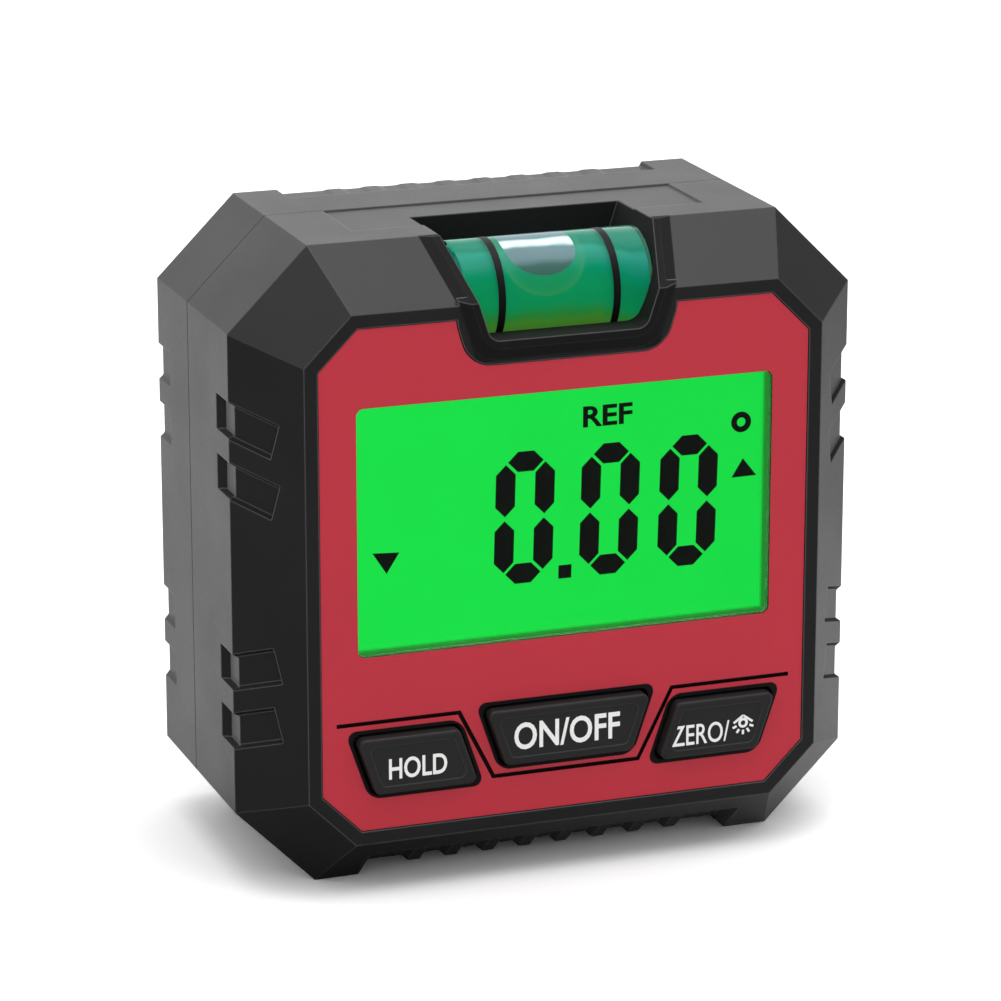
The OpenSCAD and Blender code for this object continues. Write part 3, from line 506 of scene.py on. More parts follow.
@dataclass(frozen=True)
class DisplayGlow(Finish):
    """Display cell lit from behind, a little brighter by its lamps and dark round its border."""

    colour: Colour
    border: Colour
    centre: Point
    half: Point
    fade_mm: float = 0.3
    lamps: Point = (1.03, 0.98)  # brightness at the left, by the lamps, and at the right
    cloud_mm: float = 6.0
    drift: float = 0.015
    unlit: float = 0.02
    roughness: float = 0.3
    level: float = 0.2

    def paint(self, r: Recipe) -> None:
        """Sets the cell's nodes.

        Args:
            r: The material being made.
        """
        beyond = [r.aside(*side) for side in zip("XZ", self.centre, self.half)]
        outside = r.ranged(r.maths("MAXIMUM", *beyond), -self.fade_mm * MM, 0.0, 0.0, 1.0)
        lamps = r.ranged(r.axis("X"), -self.half[0], self.half[0], *self.lamps)
        drift = r.spread(r.noise(self.cloud_mm, Detail.SOFT), 1.0 - self.drift, 1.0 + self.drift)
        glow = r.mixed(outside, self.colour, self.border)
        r.surface(Emission_Color=glow, Emission_Strength=r.maths("MULTIPLY", lamps, drift))
        r.surface(Base_Color=toned(self.colour, self.unlit), Roughness=self.roughness)
        r.surface(Specular_IOR_Level=self.level)


@dataclass(frozen=True)
class Clear(Finish):
    """Clear moulded acrylic with faint handling haze."""

    colour: Colour
    ior: float = 1.49
    haze: float = 0.02
    cloud_mm: float = 7.0
    tone: float = 1.02

    def paint(self, r: Recipe) -> None:
        """Sets the acrylic's nodes.

        Args:
            r: The material being made.
        """
        cloud = r.noise(self.cloud_mm, Detail.FINE)
        lighter = tuple(min(1.0, c) for c in toned(self.colour, self.tone))
        r.surface(Base_Color=r.mixed(cloud, self.colour, lighter), Transmission_Weight=1.0, IOR=self.ior)
        r.surface(Roughness=self.ground(r, r.spread(cloud, 0.0, self.haze)))

    def ground(self, r: Recipe, rough: Socket) -> Socket:
        """Gives the roughness with what is ground matt, here nothing."""
        return rough


@dataclass(frozen=True)
class CutLens(Clear):
    """Clear lens whose cut edges and flange are left matt."""

    half_mm: Point = (19.9, 11.5)
    middle_mm: float = 34.6
    corner_mm: float = 0.66
    edge: float = 0.9  # roughness of its edges

    def ground(self, r: Recipe, rough: Socket) -> Socket:
        """Gives the roughness, high on the lens's edges.

        Args:
            r: The material being made.
            rough: The roughness of its faces.

        Returns:
            The roughness of both.
        """
        beside = r.aside("X", 0.0, self.half_mm[0] * MM)
        over = r.aside("Z", self.middle_mm * MM, self.half_mm[1] * MM)
        outside = r.past(r.rounded(beside, over, self.corner_mm), 0.0)
        return r.maths("MAXIMUM", rough, r.maths("MULTIPLY", outside, self.edge))


@dataclass(frozen=True)
class Halo:
    """Faint crescent of painted light that the bubble throws on the spirit below it."""

    wide_mm: float
    high_mm: float
    level_mm: float
    middle_mm: float
    # colour of the painted light
    colour: Colour = (0.16, 0.36, 0.1)
    line: float = 0.16  # strength of its edge
    fill: Point = (0.05, 0.12)  # strength inside, and just within its edge
    inner: float = -0.3  # where the inside begins, as a share past the edge
    fade: float = 0.15  # width of the edge, as such a share
    front_mm: float = 1.0  # before the axis, where it is at its full strength

    def mask(self, r: Recipe, ahead: Socket, above: Socket) -> Socket:
        """Gives where the crescent lies.

        Args:
            r: The material being made.
            ahead: How far a place lies before the tube's axis in metres.
            above: How far it lies above the axis in metres.

        Returns:
            The mask, 0 off the crescent.
        """
        sideways = r.maths("SUBTRACT", r.axis("X"), self.middle_mm * MM)
        upwards = r.maths("SUBTRACT", above, self.level_mm * MM)
        across = r.maths("POWER", r.maths("DIVIDE", sideways, self.wide_mm * MM), 2.0)
        down = r.maths("POWER", r.maths("DIVIDE", upwards, self.high_mm * MM), 2.0)
        past = r.maths("SUBTRACT", r.maths("ADD", across, down), 1.0)
        line = r.ranged(r.maths("ABSOLUTE", past), 0.0, self.fade, self.line, 0.0)
        veil = r.maths("MAXIMUM", line, r.ranged(past, self.inner, 0.0, *self.fill))
        within = r.ranged(past, 0.0, self.fade, 1.0, 0.0)
        return r.chain("MULTIPLY", veil, within, r.ranged(ahead, 0.0, self.front_mm * MM, 0.0, 1.0))


@dataclass(frozen=True)
class GlowingFill(Finish):
    """Spirit coloured with dye, with a painted glow and a row of stops round its axis that paint its light
    and shade.
    """

    axis: Point
    # strength of the painted glow
    glow: float
    stops: Stops
    halo: Halo | None = None
    turn: Point = (-90.0, 130.0)  # degrees above the front where the stops begin and end
    cloud_mm: float = 3.0
    drift: float = 0.012
    end_mm: Point = (4.0, 7.5)  # along the tube, where its colour gets deeper
    deeper: float = 0.1
    roughness: float = 0.25
    level: float = 0.0

    def paint(self, r: Recipe) -> None:
        """Sets the spirit's nodes.

        Args:
            r: The material being made.
        """
        ahead = r.maths("SUBTRACT", self.axis[0], r.axis("Y"))
        above = r.maths("SUBTRACT", r.axis("Z"), self.axis[1])
        start, end = (math.radians(degrees) for degrees in self.turn)
        share = r.ranged(r.maths("ARCTAN2", above, ahead), start, end, 0.0, 1.0)
        drift = r.spread(r.noise(self.cloud_mm, Detail.SOFT), -self.drift, self.drift)
        deeper = r.ranged(r.axis("X"), self.end_mm[0] * MM, self.end_mm[1] * MM, 0.0, self.deeper)
        colour = r.ramp(r.chain("ADD", share, drift, deeper), self.stops)
        if self.halo:
            colour = r.mixed(self.halo.mask(r, ahead, above), colour, self.halo.colour)
        r.surface(Base_Color=colour, Emission_Color=colour, Emission_Strength=self.glow)
        r.surface(Roughness=self.roughness, Specular_IOR_Level=self.level)


@dataclass(frozen=True)
class Plated(Finish):
    """Bare or plated metal with fine rubbing marks."""

    colour: Colour
    roughness: float = 0.28
    marks_mm: float = 0.35
    marks_depth_mm: float = 0.002
    cloud_mm: float = 2.5
    tone: float = 0.9
    rubbing: Point = (-0.06, 0.1)

    def paint(self, r: Recipe) -> None:
        """Sets the metal's nodes.

        Args:
            r: The material being made.
        """
        marks, cloud = r.noise(self.marks_mm, Detail.SCRATCHED), r.noise(self.cloud_mm)
        r.surface(Base_Color=r.mixed(cloud, toned(self.colour, self.tone), self.colour), Metallic=1.0)
        r.surface(Roughness=r.spread(marks, *(self.roughness + change for change in self.rubbing)))
        r.surface(Normal=r.bump(marks, self.marks_depth_mm))


@dataclass(frozen=True)
class Printed(Finish):
    """Thick printed ink with a slightly uneven tone."""

    colour: Colour
    roughness: float = 0.5
    level: float = 0.2
    cloud_mm: float = 0.5
    tone: float = 0.94
    uneven: float = 0.08

    def paint(self, r: Recipe) -> None:
        """Sets the ink's nodes.

        Args:
            r: The material being made.
        """
        cloud = r.noise(self.cloud_mm)
        rough = r.spread(cloud, self.roughness - self.uneven, self.roughness + self.uneven)
        r.surface(Base_Color=r.mixed(cloud, toned(self.colour, self.tone), self.colour), Roughness=rough)
        r.surface(Specular_IOR_Level=self.level)


@dataclass(frozen=True)
class BoardMask(Finish):
    """Green solder mask over copper tracks."""

    colour: Colour
    track: Colour
    tracks_scale: float = 260.0
    track_wide: float = 0.012
    track_depth_mm: float = 0.01
    fill: Colour = (0.3, 0.3, 0.3)
    cloud_mm: float = 4.0
    tone: float = 1.2
    rough: Point = (0.25, 0.4)
    level: float = 0.5

    def paint(self, r: Recipe) -> None:
        """Sets the board's nodes.

        Args:
            r: The material being made.
        """
        values = {"Vector": r.place, "Scale": self.tracks_scale, "Mortar Size": self.track_wide}
        tones = {"Color1": (0.0, 0.0, 0.0), "Color2": self.fill, "Mortar": WHITE}
        tracks = r.node("TexBrick", values | tones).outputs[0]
        cloud = r.noise(self.cloud_mm)
        body = r.mixed(cloud, self.colour, toned(self.colour, self.tone))
        r.surface(Base_Color=r.mixed(tracks, body, self.track), Specular_IOR_Level=self.level)
        r.surface(Roughness=r.spread(cloud, *self.rough), Normal=r.bump(tracks, self.track_depth_mm))


@dataclass(frozen=True)
class CellSleeve(Finish):
    """Plain sleeve of a cell: slate body, pale band by its nub and bare steel ends."""

    middle: float
    half: float
    steel: Colour = (0.55, 0.55, 0.56)
    slate: Colour = (0.045, 0.055, 0.075)
    pale: Colour = (0.42, 0.43, 0.44)
    places: tuple[float, ...] = (0.0, 0.012, 0.86, 0.9, 0.965)
    dust: Colour = (0.2, 0.2, 0.2)
    dusty: float = 0.12
    cloud_mm: float = 5.0
    rough: Point = (0.22, 0.32)

    def paint(self, r: Recipe) -> None:
        """Sets the sleeve's nodes.

        Args:
            r: The material being made.
        """
        side = r.maths("SIGN", r.maths("SUBTRACT", self.middle, r.axis("Z")))
        along = r.maths("MULTIPLY", r.axis("X"), side)
        share = r.ranged(along, -self.half, self.half, 0.0, 1.0)
        tones = (self.steel, self.slate, self.pale, self.slate, self.steel)
        bares = ((float(tone == self.steel),) * 3 for tone in tones)
        colour = r.ramp(share, tuple(zip(self.places, tones)), hard=True)
        bare = r.ramp(share, tuple(zip(self.places, bares)), hard=True)
        cloud = r.noise(self.cloud_mm)
        dusted = r.mixed(r.maths("MULTIPLY", cloud, self.dusty), colour, self.dust)
        r.surface(Base_Color=dusted, Metallic=bare, Roughness=r.spread(cloud, *self.rough))


def clear_selection() -> None:
    """Leaves nothing selected."""
    bpy.ops.object.select_all(action="DESELECT")


def pick(*pieces: Piece) -> None:
    """Selects pieces alone and makes the first one active.

    Args:
        pieces: What is selected.
    """
    clear_selection()
    for piece in pieces:
        piece.select_set(True)
    bpy.context.view_layer.objects.active = pieces[0]


def shape(piece: Piece) -> None:
    """Enters edit mode on one piece with nothing selected.

    Args:
        piece: The piece.
    """
    pick(piece)
    bpy.ops.object.mode_set(mode="EDIT")
    bpy.ops.mesh.select_all(action="DESELECT")


def shaped() -> None:
    """Merges doubles, turns the faces outwards and leaves edit mode."""
    bpy.ops.mesh.select_all(action="SELECT")
    bpy.ops.mesh.remove_doubles(threshold=DOUBLE)
    bpy.ops.mesh.normals_make_consistent(inside=False)
    bpy.ops.object.mode_set(mode="OBJECT")


def thicken(depth: float) -> None:
    """Extrudes the whole piece in edit mode backwards and closes its shape.

    Args:
        depth: How far in metres.
    """
    bpy.ops.mesh.select_all(action="SELECT")
    bpy.ops.mesh.extrude_region_move(TRANSFORM_OT_translate={"value": (0.0, depth, 0.0)})
    shaped()


def bevel(piece: Piece, chosen: Callable[[Vector, Vector], bool], wide_mm: float, flats: int) -> None:
    """Rounds some edges of a piece.

    Args:
        piece: What is rounded.
        chosen: Says by the two ends of an edge whether it is rounded.
        wide_mm: Width of the rounding.
        flats: How many flats stand for the round.
    """
    shape(piece)
    bpy.ops.mesh.select_mode(type="EDGE")
    bpy.ops.object.mode_set(mode="OBJECT")
    for edge in piece.data.edges:
        edge.select = chosen(*(piece.data.vertices[v].co for v in edge.vertices))
    bpy.ops.object.mode_set(mode="EDIT")
    bpy.ops.mesh.bevel(offset=wide_mm * MM, segments=flats, affect="EDGES")
    bpy.ops.mesh.select_mode(type="VERT")
    shaped()


def settle(piece: Piece) -> None:
    """Moves an object's place, turn and size into its mesh."""
    pick(piece)
    bpy.ops.object.transform_apply(location=True, rotation=True, scale=True)


def joined(pieces: Sequence[Piece], name: str) -> Piece:
    """Joins pieces into one.

    Args:
        pieces: What is joined.
        name: Name of the joined piece.

    Returns:
        The joined piece.
    """
    pick(*pieces)
    bpy.ops.object.join()
    made = bpy.context.object
    made.name = made.data.name = name
    return made


def cut(piece: Piece, tool: Piece, kept: Cut = Cut.OUTSIDE) -> None:
    """Cuts a piece with a tool and removes the tool.

    Args:
        piece: What is cut.
        tool: The shape that cuts it.
        kept: Which part of the piece stays.
    """
    pick(piece)
    made = piece.modifiers.new("cut", "BOOLEAN")
    made.operation = kept.value
    made.solver = "EXACT"
    made.object = tool
    bpy.ops.object.modifier_apply(modifier=made.name)
    bpy.data.objects.remove(tool)


def smooth(piece: Piece, degrees: float = 35.0) -> None:
    """Shades a piece smooth up to an angle."""
    pick(piece)
    bpy.ops.object.shade_smooth_by_angle(angle=math.radians(degrees))


def plate(name: str, outline: Sequence[Point], span: Point) -> Piece:
    """Makes a flat plate that faces the front.

    Args:
        name: Name of the plate.
        outline: Its corners as x and z in millimetres.
        span: Depth of its front and its back in metres.

    Returns:
        The plate.
    """
    clear_selection()
    bpy.ops.mesh.primitive_circle_add(vertices=len(outline), radius=1.0, fill_type="NGON")
    piece = bpy.context.object
    piece.name = name
    for corner, (x, z) in zip(piece.data.vertices, outline):
        corner.co = (x * MM, span[0], z * MM)
    shape(piece)
    thicken(span[1] - span[0])
    return piece


def ring(name: str, centre: Point, radii: Point, span: Point, sides: int = 40) -> Piece:
    """Makes a flat ring that faces the front.

    Args:
        name: Name of the ring.
        centre: Its centre as x and z in millimetres.
        radii: Its outer and inner radius in millimetres.
        span: Depth of its front and its back in metres.
        sides: How many sides stand for the round.

    Returns:
        The ring.
    """
    clear_selection()
    outer, inner = (radius * MM for radius in radii)
    place = (centre[0] * MM, span[0], centre[1] * MM)
    bpy.ops.mesh.primitive_circle_add(
        vertices=sides, radius=outer, fill_type="NGON", location=place, rotation=TO_FRONT)
    piece = bpy.context.object
    piece.name = name
    settle(piece)
    shape(piece)
    bpy.ops.mesh.select_all(action="SELECT")
    bpy.ops.mesh.inset(thickness=outer - inner)
    bpy.ops.mesh.delete(type="FACE")
    thicken(span[1] - span[0])
    return piece


def lettering(words: str, centre: Point, size: Point, span: Point, weight: float) -> Piece:
    """Makes raised words that face the front, fitted to a box.

    Args:
        words: What is written.
        centre: Middle of the box as x and z in millimetres.
        size: Width and height of the box in millimetres.
        span: Depth of the words' front and their back in metres.
        weight: How much each stroke is thickened.

    Returns:
        The words as one mesh.
    """
    clear_selection()
    bpy.ops.object.text_add(location=(0.0, 0.0, 0.0))
    piece = bpy.context.object
    piece.data.body = words
    piece.data.extrude = RAW_DEPTH
    piece.data.offset = weight
    piece.data.resolution_u = CURVE_STEPS
    bpy.ops.object.convert(target="MESH")
    corners = [vertex.co for vertex in piece.data.vertices]
    low = Vector([min(c[i] for c in corners) for i in range(3)])
    high = Vector([max(c[i] for c in corners) for i in range(3)])
    raw, middle = high - low, (low + high) / 2
    near, far = span
    scale = Vector((size[0] * MM / raw.x, size[1] * MM / raw.y, (far - near) / raw.z))
    target = Vector((centre[0] * MM, (near + far) / 2, centre[1] * MM))
    piece.scale = scale
    piece.rotation_euler = TO_FRONT
    piece.location = target - Vector((scale.x * middle.x, -scale.z * middle.z, scale.y * middle.y))
    settle(piece)
    shape(piece)
    shaped()
    return piece


def cylinder(name: str, radius: float, depth: float, place: Place, turn: Place, sides: int) -> Piece:
    """Makes a cylinder.

    Args:
        name: Name of the cylinder.
        radius: Its radius in metres.
        depth: Its length in metres.
        place: Its middle in metres.
        turn: How it is turned from upright.
        sides: How many sides stand for the round.

    Returns:
        The cylinder.
    """
    clear_selection()
    bpy.ops.mesh.primitive_cylinder_add(
        vertices=sides, radius=radius, depth=depth, location=place, rotation=turn)
    piece = bpy.context.object
    piece.name = name
    settle(piece)
    return piece


def rod(name: str, radius: float, start: float, end: float, centre: Point, sides: int = 96) -> Piece:
    """Makes a round rod along X, from start to end round a centre in Y and Z, all in metres."""
    return cylinder(name, radius, end - start, ((start + end) / 2, *centre), TO_RIGHT, sides)


def carry(piece: Piece, body: Body, finish: bpy.types.Material) -> None:
    """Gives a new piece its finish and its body.

    Args:
        piece: The new piece.
        body: What it moves with.
        finish: Its material.
    """
    piece.data.materials.clear()
    piece.data.materials.append(finish)
    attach(piece, body.value)
    log.info("%s: %d faces, rides on %s", piece.name, len(piece.data.polygons), body.value)


def dress(finish: Finish, *nodes: str) -> None:
    """Puts a finish on CAD nodes.

    Args:
        finish: The finish.
        nodes: Names of the nodes.
    """
    material = finish.make()
    for name in nodes:
        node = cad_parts[name]
        if not node.material_slots:
            node.data.materials.append(material)
        for place in node.material_slots:
            place.material = material
        log.info("%s: finish %s", name, material.name)


@dataclass
class Case:
    """The two halves of the case, their door, magnets and screws."""

    # the last setting lifts the painted highlight on the case's edges
    black: CasePlastic = CasePlastic("case_black", (0.0125, 0.0125, 0.013), edge_mm=0.2, edge_highlight=0.11)
    nickel: Plated = Plated("magnet_nickel", (0.72, 0.71, 0.69))
    zinc: Plated = Plated("screw_zinc", (0.5, 0.5, 0.52), 0.34)
    head_mm: float = 2.15  # radius of a screw's head
    head_sides: int = 40
    high_mm: float = 1.7
    round_mm: float = 0.5
    round_flats: int = 4
    recess_mm: Place = (2.3, 1.6, 0.55)
    recess_in_mm: float = 0.2
    shank_mm: float = 0.95  # radius of its shank
    shank_sides: int = 24
    overlap_mm: float = 0.05  # how far the shank goes into the head

    def screw(self) -> Piece:
        """Models one screw with a rounded head and a cross recess, its axis along Y.

        Returns:
            The screw.
        """
        low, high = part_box("housing_screws")
        back, tip, deep = high.y, low.y, self.high_mm * MM
        middle = (0.0, back - deep / 2, 0.0)
        head = cylinder("head", self.head_mm * MM, deep, middle, TO_BACK, self.head_sides)
        bevel(head, lambda a, b: max(back - a.y, back - b.y) < SAME, self.round_mm, self.round_flats)
        for turn in (0.0, math.pi / 2):
            clear_selection()
            bpy.ops.mesh.primitive_cube_add(
                size=1.0, location=(0.0, back - self.recess_in_mm * MM, 0.0),
                rotation=(0.0, turn, 0.0), scale=[size * MM for size in self.recess_mm])
            slot = bpy.context.object
            settle(slot)
            cut(head, slot)
        end = back - (self.high_mm - self.overlap_mm) * MM
        middle = (0.0, (end + tip) / 2, 0.0)
        shank = cylinder("shank", self.shank_mm * MM, end - tip, middle, TO_BACK, self.shank_sides)
        made = joined([head, shank], "housing_screw")
        smooth(made)
        return made

    def build(self) -> None:
        """Dresses the case and sets its four screws."""
        dress(self.black, "front_housing", "rear_housing", "battery_door")
        dress(self.nickel, "base_magnets")
        low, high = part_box("housing_screws")
        head = self.head_mm * MM
        across, down, up = high.x - head, low.z + head, high.z - head
        first = self.screw()
        copies = []
        for x, z in ((-across, down), (-across, up), (across, down), (across, up)):
            copy = first.copy()
            copy.data = first.data.copy()
            bpy.context.collection.objects.link(copy)
            copy.location = (x, 0.0, z)
            settle(copy)
            copies.append(copy)
        bpy.data.objects.remove(first)
        made = joined(copies, "case_screws")
        carry(made, Body.CASE, self.zinc.make())
        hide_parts("housing_screws")


@dataclass
class Face:
    """The red panel, its window and the figures of the display, with places and sizes in millimetres."""

    red: Colour = (0.525, 0.018, 0.039)
    # near black painted shade in the panel's sunken line and on its edges
    groove_shade: Colour = (0.006, 0.004, 0.004)
    green: Colour = (0.006, 0.775, 0.065)
    rim: Colour = (0.016, 0.28, 0.026)
    lens: CutLens = CutLens("window_clear", (0.97, 1.0, 0.98))
    ink: Printed = Printed("figure_black", (0.003, 0.004, 0.003))
    window: Point = (20.0, 11.6)  # half its width and height
    window_z: float = 34.6
    room: Point = (0.03, 0.02)  # left between lens and figures, and figures and cell
    shift: Point = (0.63, -0.55)  # from where a figure shows to where it lies
    digits_x: tuple[float, ...] = (-7.15, 1.12, 8.8)
    digits_z: float = 28.5
    digit_wide: float = 5.65
    digit_high: float = 12.4
    stroke: float = 1.86
    gap: float = 0.2
    lean: float = 0.027
    dot: tuple[Point, ...] = ((-0.85, 28.53), (0.38, 28.53), (0.41, 29.77), (-0.82, 29.77))
    mark_up: tuple[Point, ...] = ((16.15, 36.45), (18.56, 36.48), (17.24, 38.17))
    mark_down: tuple[Point, ...] = ((-18.66, 32.77), (-17.36, 30.76), (-16.15, 32.62))
    degree: Point = (17.0, 41.67)
    degree_radii: Point = (0.97, 0.44)
    word: Point = (3.88, 43.57)
    word_size: Point = (4.77, 1.95)
    word_weight: float = 0.022
    # black shade painted round the three openings, where the gaps round the caps lie
    gap_shades: tuple[GapShade, ...] = (
        GapShade(9.85, 15.8, -18.84, -8.42, -0.34, -0.34),
        GapShade(11.15, 17.1, -6.38, 6.38, -0.34, 0.34),
        GapShade(9.85, 15.8, 8.42, 18.84, 0.34, 0.34),
    )

    def bar(self, low: float, high: float, middle: float, half: float) -> list[Point]:
        """Draws a bar with pointed ends.

        Args:
            low: Where it begins along its length.
            high: Where it ends.
            middle: Its middle line across.
            half: Half its width, below 0 to draw it the other way round.

        Returns:
            Its corners, along and across.
        """
        near, far, tip = middle - half, middle + half, abs(half)
        return [(low, middle), (low + tip, near), (high - tip, near),
                (high, middle), (high - tip, far), (low + tip, far)]

    def segments(self, left: float) -> list[list[Point]]:
        """Draws the six lit bars of a nought.

        Args:
            left: X of its lower left corner.

        Returns:
            The outline of each bar.
        """
        half, tip = self.stroke / 2, self.gap
        middle, top, right = self.digit_high / 2, self.digit_high - half, self.digit_wide - half
        bars: list[list[Point]] = []
        for x in (half, right):
            for low, high in ((half + tip, middle - tip), (middle + tip, top - tip)):
                bars.append([(across, up) for up, across in self.bar(low, high, x, -half)])
        for z in (half, top):
            bars.append(self.bar(half + tip, right - tip, z, half))
        return [[(left + x + self.lean * z, self.digits_z + z) for x, z in bar] for bar in bars]

    def seen(self, outline: Sequence[Point]) -> list[Point]:
        """Moves an outline from where it shows on the face to where it lies behind the lens."""
        return [(x + self.shift[0], z + self.shift[1]) for x, z in outline]

    def build(self) -> None:
        """Dresses the face and lays the figures between lens and display cell."""
        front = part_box("face_panel")[0].y
        dress(PanelFilm("panel_red", self.red, self.groove_shade, front, self.gap_shades), "face_panel")
        dress(self.lens, "display_window")
        centre, half = (0.0, self.window_z * MM), (self.window[0] * MM, self.window[1] * MM)
        dress(DisplayGlow("display_green", self.green, self.rim, centre, half), "lcd_glass")
        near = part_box("display_window")[1].y + self.room[0] * MM
        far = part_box("lcd_glass")[0].y - self.room[1] * MM
        bars = [bar for left in self.digits_x for bar in self.segments(left)]
        bars += [self.dot, self.mark_up, self.mark_down]
        pieces = [plate("bar", self.seen(bar), (near, far)) for bar in bars]
        degree, word = self.seen([self.degree, self.word])
        pieces.append(ring("degree", degree, self.degree_radii, (near, far)))
        pieces.append(lettering("REF", word, self.word_size, (near, far), self.word_weight))
        made = joined(pieces, "display_figures")
        carry(made, Body.CASE, self.ink.make())


@dataclass(frozen=True)
class Word:
    """One word on a push cap, with its place and size in millimetres."""

    text: str
    name: str
    body: Body
    centre: Point
    size: Point
    weight: float


@dataclass
class Keys:
    """The three push caps and the words on them, with places and sizes in millimetres."""

    # the last setting lifts the painted highlight on the caps' edges
    rubber: Moulded = Moulded(
        "cap_rubber", (0.0175, 0.0175, 0.018), roughness=0.5, edge_mm=0.15, edge_highlight=0.035)
    white: Printed = Printed("legend_white", (0.86, 0.86, 0.85))
    dish: float = 0.06  # depth of the hollow in a cap
    raised: float = 0.04  # how far the words stand out of it
    rooted: float = 0.02  # how far they go into the cap
    words: tuple[Word, ...] = (
        Word("HOLD", "hold_words", Body.HOLD, (-14.7, 12.5), (5.57, 2.0), 0.016),
        Word("ON/OFF", "power_words", Body.POWER, (-0.26, 14.16), (10.33, 2.6), 0.016),
        Word("ZERO/", "zero_words", Body.ZERO, (12.95, 12.28), (5.73, 2.0), 0.006),
    )
    bulb: Point = (17.2, 12.85)
    bulb_radii: Point = (0.48, 0.24)
    bulb_sides: int = 28
    shade_top: float = 0.72
    shade_end: Point = (0.95, 0.05)
    ray_degrees: tuple[float, ...] = (-158, -124, -90, -56, -22)
    ray_ends: Point = (0.7, 1.12)
    half_stroke: float = 0.11

    def lamp(self, span: Point) -> list[Piece]:
        """Draws a small lamp sign: a bulb under a shade, with five rays below.

        Args:
            span: Depth of the sign's front and its back in metres.

        Returns:
            The parts of the sign.
        """
        parts = [ring("bulb", self.bulb, self.bulb_radii, span, self.bulb_sides)]
        mid, (wide, low) = Vector(self.bulb), self.shade_end
        strokes = [(mid + Vector((0.0, self.shade_top)), mid + Vector((end, low))) for end in (-wide, wide)]
        for turn in map(math.radians, self.ray_degrees):
            along = Vector((math.cos(turn), math.sin(turn)))
            strokes.append(tuple(mid + along * end for end in self.ray_ends))
        for start, end in strokes:
            along = (end - start).normalized() * self.half_stroke
            side = Vector((-along.y, along.x))
            outline = [start - side, end - side, end + side, start + side]
            parts.append(plate("stroke", [tuple(corner) for corner in outline], span))
        return parts

    def build(self) -> None:
        """Dresses the caps and sets the words in their dishes."""
        dress(self.rubber, "hold_button", "power_button", "zero_button")
        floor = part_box("power_button")[0].y + self.dish * MM
        span = (floor - self.raised * MM, floor + self.rooted * MM)
        white = self.white.make()
        for word in self.words:
            piece = lettering(word.text, word.centre, word.size, span, word.weight)
            if word.body is Body.ZERO:
                piece = joined([piece, *self.lamp(span)], word.name)
            piece.name = word.name
            carry(piece, word.body, white)


